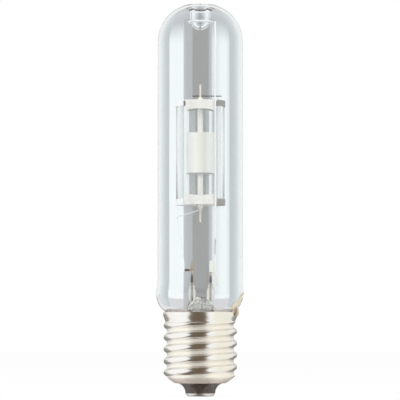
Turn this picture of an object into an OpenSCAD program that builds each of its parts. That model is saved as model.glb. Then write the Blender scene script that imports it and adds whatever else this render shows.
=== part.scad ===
// Metal halide lamp with a clear tubular outer bulb, a shrouded ceramic arc tube and a large
// screw cap. The origin is the flat underside of the centre contact, +Z runs up the lamp's axis
// and the side that faces the viewer is -Y.

/* [Outer bulb] */
// Overall length, from the centre contact to the crest of the dome
lamp_length = 211; // [205:1:220]
// Outside diameter of the tubular bulb
bulb_d = 46; // [44:0.5:48]
// Wall of the bulb
bulb_wall = 1.3; // [1:0.1:1.6]
// Radius of the dome's corner, outside
dome_r = 20.6; // [19:0.2:21]
// Radius of the shoulder where the bulb draws in to the cap, outside
shoulder_r = 12; // [11:0.5:13]
// How far the shoulder swells out beyond the straight tube
shoulder_swell = 0.8; // [0.4:0.1:1]
// Radius of the hollow curve between the swell and the straight tube
swell_fillet_r = 20; // [16:1:24]
// Space between the inner edge of the cap's rim and the glass within it
rim_gap = 1.1; // [1:0.1:1.3]
// Radius of the hollow curve between neck and shoulder
neck_fillet_r = 5; // [4.6:0.1:5.2]
// Depth of the dimple in the dome, measured outside
dimple_depth = 12; // [10:0.5:14]
// Radius of the dimple, outside the glass
dimple_r = 3.5; // [3:0.1:4]
// Thickness of the glass at the dimple
dimple_wall = 1.9; // [1.6:0.1:2.2]
// Radius of the rounded lip at the dimple's mouth
dimple_lip_r = 2; // [1.6:0.1:2.2]
// Radius of the hollow curve inside the dome, round the dimple
hollow_fillet_r = 2; // [1.6:0.1:2.4]
// How far the dimple's wall widens before that curve
hollow_flare = 0.8; // [0.4:0.1:1]

/* [Stem] */
// Depth of the seal, where the stem's flare meets the neck, below the cap's rim
neck_depth = 14.5; // [14:0.5:16]
// Outside diameter of the stem tube
stem_d = 14.8; // [14.4:0.2:15.2]
// Wall of the stem tube and its flare
stem_wall = 1.2; // [1:0.1:1.3]
// Height of the stem, from the seal to the top of its flattened press
stem_h = 22.7; // [22:0.1:24]
// Height of the press, an arch as wide as the stem
press_h = 8.2; // [7.8:0.1:8.6]
// Thickness of the press, front to back
press_t = 6.4; // [5.6:0.2:6.8]
// Place of the left stem lead, across the lamp
lead_left_x = -4.5; // [-4.8:0.1:-4.2]
// Place of the right stem lead, across the lamp
lead_right_x = 5.5; // [5.2:0.1:5.6]
// Diameter of the stem leads above the press
stem_lead_d = 1; // [0.8:0.1:1.2]
// Length of the stem leads above the press
stem_lead_h = 19.4; // [18:0.2:21]
// Depth of the stem leads' lower ends below the press
stem_lead_root = 2; // [1:0.5:3]
// Height of the glass bead round each lead, above the press
bead_h = 7.5; // [6:0.5:8]
// Diameter of a bead at its foot
bead_foot_d = 3.4; // [3:0.1:3.8]
// Diameter of a bead at its tip
bead_tip_d = 2; // [1.8:0.1:2.4]
// How far a bead swells out between foot and tip
bead_swell = 0.8; // [0.4:0.1:1]
// Diameter of the knot of weld on each stem lead
knot_d = 1.7; // [1.4:0.1:1.9]
// Height of the knot above the bead
knot_rise = 1.2; // [1:0.1:1.5]
// Length over which the knot runs out along its lead
knot_taper_h = 3; // [2:0.5:4]
// Outside diameter of the exhaust tube
exhaust_d = 4.8; // [4:0.2:5]
// Bore of the exhaust tube and of the hole in the press
exhaust_bore = 2.3; // [2:0.1:2.6]
// Place of the exhaust tube, across the lamp
exhaust_x = 1.8; // [1.2:0.1:2]
// Depth of the hole in the press below its top
exhaust_hole_drop = 1.8; // [1.5:0.1:3]
// Length of the exhaust tube below the seal
exhaust_drop = 11.5; // [9:0.5:12]
// Height of the exhaust tube's pinched tip
exhaust_tip_h = 2.5; // [2:0.1:3]

/* [Cap] */
// Height of the cap, from contact to rim
cap_h = 45; // [45:0.1:45.4]
// Thread diameter over the crests
thread_d = 39.4; // [39.2:0.1:39.5]
// Thread diameter at the roots
thread_root_d = 35.7; // [35.5:0.1:35.9]
// Pitch of the knuckle thread
thread_pitch = 6.35; // [6.3:0.05:6.4]
// Height of a crest on the right-hand side of the cap
thread_phase_z = 15.78; // [15.6:0.01:16]
// Height over which the thread rises from the lower cone
thread_in = 2.6; // [2:0.1:3]
// Height over which the thread runs out into the skirt
thread_out = 1.8; // [1.5:0.1:2.2]
// Thickness of the sheet that the shell is rolled from
shell_wall = 0.4; // [0.3:0.05:0.5]
// Height of the shell's lower lip above the contact
shell_foot_z = 7.1; // [7:0.1:7.4]
// Diameter of the shell's lower lip
shell_foot_d = 27.2; // [27:0.1:27.6]
// Height of the rounded cone between the lower lip and the thread
shell_cone_h = 5; // [4.8:0.1:5.2]
// Height of the plain skirt above the thread
skirt_h = 5.2; // [4.8:0.1:5.4]
// How far the rim stands out beyond the thread's crests
rim_flare = 0.3; // [0.2:0.05:0.4]
// Height of the straight edge at the rim
rim_edge_h = 1; // [0.6:0.1:1.2]
// Thickness of the cement between the neck and the thread's roots
cement_t = 1.85; // [1.75:0.05:1.95]
// Height of the cement
cement_h = 10; // [8:0.5:11]
// Depth of the cement's top below the rim
cement_drop = 2; // [1.5:0.1:2.5]
// Width of the groove in the cement for the side lead
groove_w = 2; // [1.5:0.1:2.5]
// Thickness of the insulator's floor and of its upstanding wall
insulator_t = 3; // [2.5:0.1:3.5]
// Diameter of the well in the middle of the insulator
insulator_well_d = 10; // [9:0.5:11]
// Width of the insulator's ledge round the contact
insulator_ledge = 0.3; // [0.2:0.1:0.4]
// Diameter of the centre contact
contact_d = 15.4; // [15:0.2:15.6]
// Height of the centre contact
contact_h = 1.7; // [1.5:0.1:1.9]
// Thickness of the contact's sheet
contact_wall = 0.5; // [0.4:0.1:0.6]
// Diameter of the lead hole through contact and insulator
lead_hole_d = 2.2; // [2:0.1:2.4]
// Widening of the contact's countersink, each side
contact_sink = 1.1; // [0.9:0.1:1.3]
// Depth by which the solder in the countersink is set back
solder_back = 0.05; // [0.02:0.01:0.1]
// Diameter of the two thin leads inside the cap
cap_lead_d = 0.4; // [0.3:0.05:0.4]
// Direction of the side solder, turned from +X towards the viewer
side_solder_angle = 20; // [10:1:24]
// Play between cap pieces that fit into one another
cap_fit = 0.2; // [0.1:0.05:0.25]

/* [Frame] */
// Diameter of the long frame rod
rod_d = 1; // [0.8:0.1:1.2]
// Distance of the rod to the right of the axis
rod_x = 7.9; // [7.7:0.1:8]
// Height over which the rod leans back to the ring
rod_lean_h = 9.4; // [8:0.2:12]
// How far the rod's upper end reaches to each side of the lamp's middle plane
rod_tip_reach = 1.5; // [1:0.1:2]
// Height over which the rod's lower end leans back to the stem lead
rod_set_h = 8; // [7:0.5:9]
// Depth of that bend below the middle between stem leads and shroud
rod_set_drop = 3.7; // [3:0.1:5]
// Overlap of the rod's foot with the right stem lead
rod_lap = 6.6; // [6:0.2:7]
// Height of the ring that steadies the frame above the dimple's tip
ring_rise = 2.4; // [1.6:0.2:3]
// Play between the ring and the dimple
ring_clear = 0.5; // [0.3:0.1:0.6]
// Opening of the ring at the back, in degrees
ring_opening = 40; // [30:5:60]
// Diameter of the dark link wires
link_d = 0.5; // [0.4:0.1:0.7]
// Height of the upper link beyond the capillary's end
upper_link_rise = 1.6; // [1.4:0.1:2]
// Reach of the upper link to the left of the axis
upper_link_reach = 4.2; // [3.5:0.1:5]
// How far the upper link swings out round the shroud cap, beside the rod
link_swing = 2.6; // [2:0.1:3]
// How far the upper link drops on its way forward to the rod
link_drop = 1.1; // [0.6:0.1:1.2]
// Depth of the dark bar below the tops of the stem leads
bar_drop = 4.9; // [4:0.1:5.5]
// Reach of the bar to the left of its lead
bar_reach = 3.9; // [3.5:0.1:4.6]
// Reach of the bar to the right of its lead
bar_lap = 1.1; // [0.8:0.1:1.8]
// Thickness of the bar, front to back
bar_t = 0.6; // [0.5:0.1:0.8]
// Height of the bar
bar_h = 1.2; // [1:0.1:1.4]
// Diameter of the thin wire from the bar to the lower lead
return_wire_d = 0.6; // [0.5:0.1:0.7]
// Distance of this wire's outer bend from the axis
return_bend_x = 12.6; // [11:0.2:14]
// Height over which it climbs from that bend to the lower lead
return_climb = 3.6; // [3:0.1:4.5]
// Depth of its upper end below the capillary's end
return_drop = 1.35; // [1.2:0.05:1.8]
// Thickness of the weld tab
tab_t = 0.4; // [0.3:0.05:0.5]
// Height of the weld tab
tab_h = 6; // [5:0.5:6.5]
// How far the tab reaches past the lead and past the rod
tab_lap = 0.6; // [0.4:0.1:0.8]
// Width of the getter strip
getter_w = 1.2; // [1:0.1:1.5]
// Thickness of the getter strip
getter_t = 0.3; // [0.2:0.05:0.4]
// Length of the getter strip
getter_length = 12; // [10:0.5:14]
// Lean of the getter strip outwards, in degrees
getter_lean = 13; // [10:1:20]
// Space left between wires that are welded side by side
weld_gap = 0.05; // [0.02:0.01:0.1]

/* [Shroud] */
// Height of the middle of the arc tube and its shroud above the middle of the lamp
light_centre_rise = 25; // [24:0.5:26]
// Outside diameter of the quartz shroud
shroud_d = 26; // [25.6:0.1:26.4]
// Wall of the shroud
shroud_wall = 1.8; // [1.5:0.1:2]
// Length of the shroud between its end caps
shroud_length = 55.3; // [54.8:0.1:56]
// Thickness of the end caps' sheet
clip_t = 0.4; // [0.3:0.1:0.5]
// Play between the shroud and the end caps' flanges
clip_clear = 0.1; // [0.05:0.05:0.2]
// Play between the end caps and the capillaries
clip_bore_clear = 0.3; // [0.2:0.05:0.4]
// Height of the wide flanges at front and back
wide_flange_h = 5.9; // [5.5:0.1:6.2]
// Height of the side flanges
side_flange_h = 3.2; // [2.8:0.1:3.6]
// Half of the width of a wide flange
wide_flange_half_w = 7.8; // [7.6:0.1:8]
// Width of the slit between neighbouring flanges
flange_slot = 1.1; // [0.8:0.1:1.3]
// Height of the slits' ends above the end cap's floor
slot_floor = 0.2; // [0.1:0.05:0.4]
// Rise of the arched edge of the wide flanges
flange_arch = 1; // [0.6:0.1:1.2]

/* [Arc tube] */
// Outside diameter of the ceramic body
arc_d = 15; // [14.6:0.1:15.2]
// Length of the ceramic body
arc_length = 21.5; // [20:0.5:23]
// Wall of the ceramic body
arc_wall = 0.9; // [0.8:0.1:1.1]
// Thickness of the end discs
disc_t = 2.2; // [2:0.1:2.5]
// Outside diameter of the capillaries
capillary_d = 3; // [2.8:0.1:3.2]
// Bore of the capillaries
capillary_bore = 1.1; // [1.05:0.05:1.2]
// Length of each capillary beyond the end of the shroud
capillary_proud = 1.65; // [1.5:0.05:2]
// Radius of the fillet where a capillary leaves its disc
capillary_fillet_r = 0.9; // [0.6:0.1:1.2]
// Height of the frit seal on each capillary's end
frit_h = 1; // [0.8:0.1:1.2]
// Diameter of the lead-ins
lead_in_d = 1; // [0.9:0.02:1]
// Length of each lead-in beyond its capillary
lead_in_proud = 7.9; // [7:0.1:8.5]
// Distance of each lead-in's inner end from the end of the ceramic body
lead_in_depth = 6; // [4:0.5:8]
// Gap between the electrode tips
arc_gap = 12.4; // [11:0.5:14]
// Diameter of the electrode rods
electrode_d = 0.6; // [0.5:0.05:0.7]
// Diameter of the wire wound on the electrode tips
coil_wire_d = 0.4; // [0.3:0.05:0.4]
// Distance of the coil from the electrode's tip
coil_setback = 0.4; // [0.2:0.1:0.6]
// Turns of the electrode coil
coil_turns = 5; // [4:1:7]

/* [Hidden] */

// Steps of a drawn arc and of a bend in a wire, and sides of wires and round pieces
arc_steps = 14;
bend_steps = 4;
wire_sides = 10;
fn_large = 96;
fn_small = 24;

// Rows and sides of the rolled shell
shell_rows = 44;
shell_sides = 48;

thread_root_r = thread_root_d / 2;
rim_r = thread_d / 2 + rim_flare;
skirt_z = cap_h - skirt_h;
shell_cone_top_z = shell_foot_z + shell_cone_h;
seal_z = cap_h - neck_depth;
press_top_z = seal_z + stem_h;
stem_lead_top_z = press_top_z + stem_lead_h;

bulb_r = bulb_d / 2;
neck_r = thread_root_r - shell_wall - cement_t;
stem_r = stem_d / 2;

shroud_r = shroud_d / 2;
shroud_mid_z = lamp_length / 2 + light_centre_rise;
shroud_foot_z = shroud_mid_z - shroud_length / 2;
clip_r = shroud_r + clip_clear + clip_t;
capillary_reach = shroud_length / 2 + capillary_proud;
lead_in_reach = capillary_reach + lead_in_proud;

// Points on an arc of radius r round c, from angle a0 to angle a1
function arc(c, r, a0, a1) =
    [for (i = [0:arc_steps]) let (a = a0 + (a1 - a0) * i / arc_steps)
        c + r * [cos(a), sin(a)]];

// Eases from 0 to 1 as t goes from 0 to 1
function ease(t) = let (u = min(1, max(0, t))) u * u * (3 - 2 * u);

// A straight round bar from a to b, with plain ends
module bar(a, b, d) {
    v = b - a;
    translate(a)
        rotate([0, acos(v[2] / norm(v)), atan2(v[1], v[0])])
            cylinder(d = d, h = norm(v), $fn = fn_small);
}

function unit(v) = v / norm(v);

// Points of a path whose corners are rounded to radius r
function rounded(points, r) = [for (i = [0:len(points) - 1])
    each i == 0 || i == len(points) - 1 ? [points[i]] :
        let (u = unit(points[i] - points[i - 1]), v = unit(points[i + 1] - points[i]),
            side = unit(v - (u * v) * u), turn = acos(u * v),
            start = points[i] - r * tan(turn / 2) * u)
        [for (k = [0:bend_steps]) let (t = turn * k / bend_steps)
            start + r * (1 - cos(t)) * side + r * sin(t) * u]];

// Direction of a path at each of its points
function headings(path) = let (last = len(path) - 1) [for (i = [0:last])
    unit(path[min(i + 1, last)] - path[max(i - 1, 0)])];

// A side direction for each heading, carried along the path without twist
function sides_along(t, s, i = 0) = i == len(t) ? [] :
    let (m = unit(s - (s * t[i]) * t[i])) concat([m], sides_along(t, m, i + 1));

// A wire of diameter d through the points, with its corners bent to radius r
module wire(points, d, r) {
    path = rounded(points, r);
    t = headings(path);
    s = sides_along(t, abs(t[0][0]) < 0.9 ? [1, 0, 0] : [0, 1, 0]);
    n = wire_sides;
    skin = [for (i = [0:len(path) - 1], j = [0:n - 1]) let (a = 360 * j / n)
        path[i] + d / 2 * (cos(a) * s[i] + sin(a) * cross(t[i], s[i]))];
    walls = [for (i = [0:len(path) - 2], j = [0:n - 1])
        let (p = i * n + j, k = i * n + (j + 1) % n)
            each [[p, p + n, k + n], [p, k + n, k]]];
    ends = [[for (j = [0:n - 1]) j], [for (j = [n - 1:-1:0]) len(skin) - n + j]];
    polyhedron(skin, concat(walls, ends));
}

// A ring made by turning a rectangle round the axis
module washer(r_in, r_out, z0, z1) {
    rotate_extrude($fn = fn_large)
        translate([r_in, z0]) square([r_out - r_in, z1 - z0]);
}

// Height over which a circle of radius r falls back by dx from its side
function side_fall(r, dx) = sqrt(max(0, pow(r, 2) - pow(dx, 2)));

// Centres of the shoulder's curve, of the neck's and of the swell's, which touch each other
shoulder_x = bulb_r + shoulder_swell - shoulder_r;
shoulder_z = cap_h + side_fall(shoulder_r, rim_r - shell_wall - rim_gap - shoulder_x);
shoulder_c = [shoulder_x, shoulder_z];
neck_c = [neck_r + neck_fillet_r,
    shoulder_z - side_fall(shoulder_r + neck_fillet_r, neck_r + neck_fillet_r - shoulder_x)];
neck_angle = atan2(shoulder_z - neck_c[1], shoulder_x - neck_c[0]);
swell_c = [bulb_r + swell_fillet_r,
    shoulder_z + side_fall(shoulder_r + swell_fillet_r, bulb_r + swell_fillet_r - shoulder_x)];
swell_angle = atan2(swell_c[1] - shoulder_z, swell_c[0] - shoulder_x);

// Centre of the dome's corner curve, and of the dimple's lip that lies inside it
lip_c = [dimple_r + dimple_lip_r, lamp_length - dimple_lip_r];
dome_cx = bulb_r - dome_r;
dome_c = [dome_cx, lip_c[1] - side_fall(dome_r - dimple_lip_r, lip_c[0] - dome_cx)];
lip_angle = atan2(lip_c[1] - dome_c[1], lip_c[0] - dome_cx);

// The hollow under the lip, on the inside of the glass
hollow_wall_r = dimple_r + dimple_wall;
hollow_x = hollow_wall_r + hollow_fillet_r + hollow_flare;
hollow_c = [hollow_x,
    dome_c[1] + side_fall(dome_r - bulb_wall - hollow_fillet_r, hollow_x - dome_cx)];
hollow_angle = atan2(hollow_c[1] - dome_c[1], hollow_c[0] - dome_cx);

dimple_tip_z = lamp_length - dimple_depth;
dimple_c = [0, dimple_tip_z + dimple_r];

// Outside of the bulb, from the seal up over the dome and down the dimple
function bulb_outside() = concat(
    [[neck_r, seal_z - stem_wall]],
    arc(neck_c, neck_fillet_r, 180, neck_angle),
    arc(shoulder_c, shoulder_r, neck_angle - 180, swell_angle),
    arc(swell_c, swell_fillet_r, swell_angle + 180, 180),
    arc(dome_c, dome_r, 0, lip_angle),
    arc(lip_c, dimple_lip_r, lip_angle, 180),
    arc(dimple_c, dimple_r, 0, -90));

// Inside of the bulb, from the dimple's tip back down to the seal
function bulb_inside() = concat(
    arc(dimple_c, hollow_wall_r, -90, 0),
    arc(hollow_c, hollow_fillet_r, 180, hollow_angle),
    arc(dome_c, dome_r - bulb_wall, hollow_angle, 0),
    arc(swell_c, swell_fillet_r + bulb_wall, 180, swell_angle + 180),
    arc(shoulder_c, shoulder_r - bulb_wall, swell_angle, neck_angle - 180),
    arc(neck_c, neck_fillet_r + bulb_wall, neck_angle, 180),
    [[neck_r - bulb_wall, seal_z - stem_wall]]);

// Clear bulb, blown from one tube, with a dimple in the dome
module outer_bulb() {
    color("lightsteelblue", 0.4)
        rotate_extrude($fn = fn_large) polygon(concat(bulb_outside(), bulb_inside()));
}

// Half of what the bulb fills or encloses, for cutting pieces that lie against the glass
module bulb_half() {
    polygon(concat([[0, seal_z - stem_wall]], bulb_outside()));
}

press_r = press_t / 2;
press_root_z = press_top_z - press_h;
exhaust_hole_z = press_top_z - exhaust_hole_drop;
flare_r = neck_r - bulb_wall - stem_r;
flare_c = [neck_r - bulb_wall, seal_z + flare_r];
stem_lead_root_z = press_root_z - stem_lead_root;

// Press: the upper part of a flat disc with a round edge, as wide as the stem
module press() {
    intersection() {
        translate([0, 0, press_top_z - stem_r]) rotate([90, 0, 0])
            rotate_extrude($fn = fn_large)
                polygon(concat([[0, -press_r]], arc([stem_r - press_r, 0], press_r, -90, 90),
                    [[0, press_r]]));
        translate([-stem_r, -stem_r, press_root_z]) cube([2 * stem_r, 2 * stem_r, press_h]);
    }
}

// Glass bead that carries a lead up out of the press
module lead_bead() {
    foot_r = bead_foot_d / 2;
    rise = press_r + bead_h;
    rotate_extrude($fn = fn_large)
        polygon(concat([[0, -press_r]], [[foot_r, -press_r]],
            [for (i = [0:arc_steps]) let (t = i / arc_steps)
                [foot_r + (bead_tip_d / 2 - foot_r) * t + bead_swell * sin(180 * t), rise * t]],
            [[0, rise]]));
}

// Stem: a flared tube whose top is pressed to an arch round the leads
module stem_glass() {
    leads = [lead_left_x, lead_right_x];
    color("lightcyan", 0.5)
    difference() {
        union() {
            rotate_extrude($fn = fn_large)
                polygon(concat(
                    arc(flare_c, flare_r + stem_wall, 270, 180),
                    [[stem_r - stem_wall, press_root_z - stem_lead_root], [0, press_root_z],
                        [0, press_root_z + stem_lead_root], [stem_r, press_root_z]],
                    arc(flare_c, flare_r, 180, 270)));
            press();
            for (x = leads)
                translate([x, 0, press_top_z - press_r]) lead_bead();
        }
        for (x = leads)
            translate([x, 0, seal_z])
                cylinder(d = stem_lead_d, h = stem_lead_top_z - seal_z, $fn = fn_small);
        translate([exhaust_x, 0, exhaust_hole_z]) rotate([90, 0, 0])
            cylinder(d = exhaust_bore, h = 2 * press_t, center = true, $fn = fn_small);
        translate([exhaust_x, 0, seal_z])
            cylinder(d = exhaust_bore, h = exhaust_hole_z - seal_z, $fn = fn_small);
        translate([exhaust_x, 0, seal_z])
            cylinder(d = exhaust_d, h = press_root_z - seal_z, $fn = fn_small);
    }
}

// Exhaust tube, pinched off below the press
exhaust_tip_z = seal_z - exhaust_drop;
module exhaust_tube() {
    color("lightcyan", 0.5)
    translate([exhaust_x, 0, 0])
        rotate_extrude($fn = fn_large)
            polygon(concat(
                [[0, exhaust_tip_z]],
                arc([0, exhaust_tip_z + exhaust_tip_h], exhaust_d / 2, -70, 0),
                [[exhaust_d / 2, press_root_z], [exhaust_bore / 2, press_root_z],
                    [exhaust_bore / 2, exhaust_tip_z + 2 * exhaust_tip_h],
                    [0, exhaust_tip_z + exhaust_tip_h]]));
}

// A lead with the knot of its weld just above the glass bead, which runs out in a cone
module stem_lead(x) {
    cone_d = 0.94 * knot_d;
    translate([x, 0, 0]) {
        translate([0, 0, stem_lead_root_z])
            cylinder(d = stem_lead_d, h = stem_lead_top_z - stem_lead_root_z, $fn = fn_small);
        translate([0, 0, press_top_z + bead_h + knot_rise]) {
            sphere(d = knot_d, $fn = fn_small);
            cylinder(d1 = cone_d, d2 = stem_lead_d, h = knot_taper_h, $fn = fn_small);
        }
    }
}

module stem_lead_left() { color("tan") stem_lead(lead_left_x); }

module stem_lead_right() { color("tan") stem_lead(lead_right_x); }

// Radius of the shell's outside at height z and angle a: the lower cone, the rolled knuckle
// thread, which climbs one pitch a turn, and the plain flared skirt
thread_mean_r = (thread_d + thread_root_d) / 4;
thread_depth = (thread_d - thread_root_d) / 4;
function shell_body_r(z) =
    z < shell_cone_top_z
        ? shell_foot_d / 2 + (thread_mean_r - shell_foot_d / 2)
            * sin(90 * (z - shell_foot_z) / shell_cone_h)
        : thread_mean_r + (rim_r - thread_mean_r)
            * ease((z - skirt_z) / (skirt_h - rim_edge_h));
function thread_swell(z) =
    thread_depth * ease((z - shell_cone_top_z + thread_in) / thread_in)
        * ease((skirt_z + thread_out / 3 - z) / thread_out);
function shell_r(z, a) =
    shell_body_r(z) + thread_swell(z) * cos(360 * (z - thread_phase_z) / thread_pitch - a);

// Screw shell, one sheet rolled to a knuckle thread: rings of points outside and inside
module screw_shell() {
    sides = shell_sides;
    rows = shell_rows;
    heights = [for (i = [0:rows]) shell_foot_z + (cap_h - shell_foot_z) * i / rows];
    skin = function (inset) [for (z = heights, j = [0:sides - 1])
        let (a = 360 * j / sides, r = shell_r(z, a) - inset) [r * cos(a), r * sin(a), z]];
    inner = sides * (rows + 1);
    walls = [for (i = [0:rows - 1], j = [0:sides - 1])
        let (k = (j + 1) % sides, p = i * sides, q = p + sides)
            each [[p + j, q + j, q + k], [p + j, q + k, p + k],
                [inner + p + j, inner + q + k, inner + q + j],
                [inner + p + j, inner + p + k, inner + q + k]]];
    rims = [for (j = [0:sides - 1]) let (k = (j + 1) % sides, t = rows * sides)
        each [[j, k, inner + k], [j, inner + k, inner + j],
            [t + j, inner + t + k, t + k], [t + j, inner + t + j, inner + t + k]]];
    color("wheat") polyhedron(concat(skin(0), skin(shell_wall)), concat(walls, rims));
}

// Black glass insulator, cast into the foot of the shell round the lead hole
insulator_top_z = shell_cone_top_z + 1;
insulator_floor_z = insulator_top_z - insulator_t;
module base_insulator() {
    seat_r = contact_d / 2 - contact_wall;
    ledge_r = contact_d / 2 + insulator_ledge;
    foot_r = shell_foot_d / 2 - shell_wall - cap_fit;
    root_r = thread_root_r - shell_wall - cap_fit;
    color("dimgray")
        rotate_extrude($fn = fn_large)
            polygon(concat(
                [[lead_hole_d / 2, contact_wall], [seat_r, contact_wall], [seat_r, contact_h]],
                [for (i = [0:arc_steps]) let (a = 90 * i / arc_steps)
                    [foot_r - (foot_r - ledge_r) * cos(a),
                        contact_h + (shell_foot_z - contact_h) * sin(a)]],
                [for (i = [0:6])
                    let (z = shell_foot_z + shell_cone_h * i / 6)
                    [shell_body_r(z) - thread_swell(z) - shell_wall - cap_fit, z + cap_fit]],
                [[root_r, insulator_top_z], [root_r - insulator_t, insulator_top_z],
                    [insulator_well_d / 2, insulator_floor_z],
                    [lead_hole_d / 2, insulator_floor_z]]));
}

// Centre contact, a pressed cup with a flat underside and a countersunk lead hole
module centre_contact() {
    r = contact_d / 2;
    color("gainsboro")
        rotate_extrude($fn = fn_large)
            polygon(concat(
                [[lead_hole_d / 2 + contact_sink, 0]],
                arc([r - contact_h, contact_h], contact_h, -90, 0),
                [[r - contact_wall, contact_h], [r - contact_wall, contact_wall],
                    [lead_hole_d / 2, contact_wall]]));
}

// Solder that fills the contact's countersink, set back a little from the flat face
module centre_solder() {
    slope = contact_sink / contact_wall;
    color("silver")
        translate([0, 0, solder_back])
            cylinder(r1 = lead_hole_d / 2 + contact_sink - slope * solder_back,
                r2 = lead_hole_d / 2, h = contact_wall - solder_back, $fn = fn_large);
}

// Beads of the side solder: reach beyond the rim, shift along it, height above it, radius
solder_beads = [[0.4, 0, -0.6, 1.5], [0.3, 0.7, 0.6, 1.3], [0.8, -0.9, 1.9, 1.1]];

// Solder lump where the side lead crosses the rim
module side_solder() {
    color("rosybrown")
    difference() {
        rotate([0, 0, -side_solder_angle])
            for (bead = solder_beads)
                translate([rim_r + bead[0], bead[1], cap_h + bead[2]])
                    sphere(bead[3], $fn = fn_small);
        translate([0, 0, skirt_z]) cylinder(r = rim_r + 0.03, h = skirt_h + 0.02, $fn = fn_large);
        rotate_extrude($fn = fn_large) bulb_half();
        bar(side_lead_path()[3], side_lead_path()[4], 1.1 * cap_lead_d);
    }
}

// Cement that fixes the glass neck in the skirt, with a groove for the side lead
cement_top_z = cap_h - cement_drop;
cement_foot_z = cement_top_z - cement_h;
module basing_cement() {
    root_r = thread_root_r - shell_wall - cap_fit;
    top_r = shell_body_r(cement_top_z) - shell_wall - 2 * cap_fit;
    color("tan")
    difference() {
        rotate_extrude($fn = fn_large) difference() {
            polygon([[0, cement_foot_z], [root_r, cement_foot_z], [root_r, skirt_z],
                [top_r, cement_top_z], [0, cement_top_z]]);
            bulb_half();
        }
        rotate([0, 0, -side_solder_angle])
            translate([side_lead_r - cap_lead_d - cap_fit, -groove_w / 2, cement_foot_z - 1])
                cube([rim_r, groove_w, cement_h + 2]);
    }
}

// Thin lead from the left stem lead down past the exhaust tube to the centre contact
module centre_lead() {
    color("peru")
        wire([[lead_left_x, 0, stem_lead_root_z],
            [lead_left_x, 0, exhaust_tip_z - 2 * cap_lead_d],
            [0, 0, insulator_floor_z + 2 * cap_lead_d], [0, 0, contact_wall]], cap_lead_d, 0.5);
}

// Route of the thin side lead, from the seal up over the rim, along the side solder's direction
side_lead_r = (neck_r + thread_root_r - shell_wall) / 2;
seal_clear = 4;
function side_lead_path() =
    let (c = cos(side_solder_angle), s = -sin(side_solder_angle), rim_in = rim_r - shell_wall)
    [for (p = [[side_lead_r, seal_z - seal_clear], [side_lead_r, neck_c[1]],
        [rim_in - 1.3 * cap_lead_d, cap_h - cap_lead_d],
        [rim_in - 0.9 * cap_lead_d, cap_h + 0.7 * cap_lead_d],
        [rim_r + 1.5 * cap_lead_d, cap_h + 0.65 * cap_lead_d]]) [p[0] * c, p[0] * s, p[1]]];

// Thin lead from the right stem lead, down and out under the seal and up over the rim
module side_lead() {
    path = side_lead_path();
    color("peru")
        wire(concat([[lead_right_x, 0, stem_lead_root_z], [lead_right_x, 0, path[0][2]]], path),
            cap_lead_d, 0.3);
}

// The rod stands against the wide flange of both end caps
rod_y = -sqrt(pow(clip_r + rod_d / 2 + weld_gap, 2) - pow(rod_x, 2));
rod_foot_y = -(stem_lead_d + rod_d) / 2 - weld_gap;
rod_foot_z = stem_lead_top_z - rod_lap;
rod_set_z = (stem_lead_top_z + shroud_foot_z) / 2 - rod_set_drop;
ring_z = dimple_tip_z + ring_rise;
ring_r = hollow_wall_r + ring_clear + rod_d / 2;

// Frame rod, from the stem lead up past the shroud to the ring in the dome
module frame_rod() {
    color("lightgray")
        wire([[rod_x, rod_foot_y, rod_foot_z], [rod_x, rod_foot_y, rod_set_z - rod_set_h],
            [rod_x, rod_y, rod_set_z], [rod_x, rod_y, ring_z - rod_lean_h],
            [rod_x, -rod_tip_reach, ring_z], [rod_x, rod_tip_reach, ring_z]],
            rod_d, 1.5 * rod_d);
}

// Spring ring round the dimple, open at the back
module dimple_ring() {
    color("silver")
        translate([0, 0, ring_z])
            rotate([0, 0, 90 + ring_opening / 2])
                rotate_extrude(angle = 360 - ring_opening, $fn = fn_large)
                    translate([ring_r, 0]) circle(d = rod_d, $fn = fn_small);
}

// Dark link from the rod round to the upper lead-in
module upper_link() {
    y = (lead_in_d + link_d) / 2 + weld_gap;
    z = shroud_mid_z + capillary_reach + upper_link_rise;
    hook_x = rod_x + (rod_d + link_d) / 2 + weld_gap;
    turn_x = hook_x + 0.7 * link_swing;
    turn_y = y - 1.15 * link_swing;
    bend_r = 0.6;
    color("dimgray")
        wire([[-upper_link_reach, y, z], [turn_x, y, z],
            [hook_x + link_swing, turn_y, z - link_drop / 4],
            [hook_x, rod_y + rod_d, z - link_drop], [hook_x, rod_y - 0.6 * rod_d, z - link_drop]],
            link_d, bend_r);
}

// Dark bar welded across the left stem lead
bar_z = stem_lead_top_z - bar_drop;
module lead_bar() {
    color("saddlebrown")
        translate([lead_left_x - bar_reach, stem_lead_d / 2 + weld_gap, bar_z - bar_h / 2])
            cube([bar_reach + bar_lap, bar_t, bar_h]);
}

// Thin wire from the bar's outer end up to the lower lead-in
module return_wire() {
    y = (lead_in_d + return_wire_d) / 2 + weld_gap;
    x = lead_left_x - bar_reach - return_wire_d / 2 - weld_gap;
    top_z = shroud_mid_z - capillary_reach - return_drop;
    bend_r = 0.8;
    color("silver")
        wire([[x, y, bar_z - bar_h / 2], [x, y, bar_z + 2.5 * bar_h],
            [-return_bend_x, y, top_z - return_climb], [-0.8 * lead_in_d, y, top_z],
            [lead_in_d, y, top_z]], return_wire_d, bend_r);
}

// Nickel tab that joins the right stem lead to the rod's foot
tab_z = rod_foot_z + tab_lap;
module weld_tab() {
    color("lightgray")
        translate([lead_right_x - tab_lap, -stem_lead_d / 2 - weld_gap - tab_t, tab_z])
            cube([rod_x - rod_d / 2 - weld_gap - lead_right_x + tab_lap, tab_t, tab_h]);
}

// Getter strip, hung from the tab and leaning outwards
module getter_strip() {
    color("khaki")
        translate([(lead_right_x + rod_x) / 2, -stem_lead_d / 2 + getter_t / 3,
            tab_z + 2 * tab_h / 3])
            rotate([0, 180 - getter_lean, 0]) translate([-getter_w / 2, 0, 0])
                cube([getter_w, getter_t, getter_length]);
}

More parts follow.
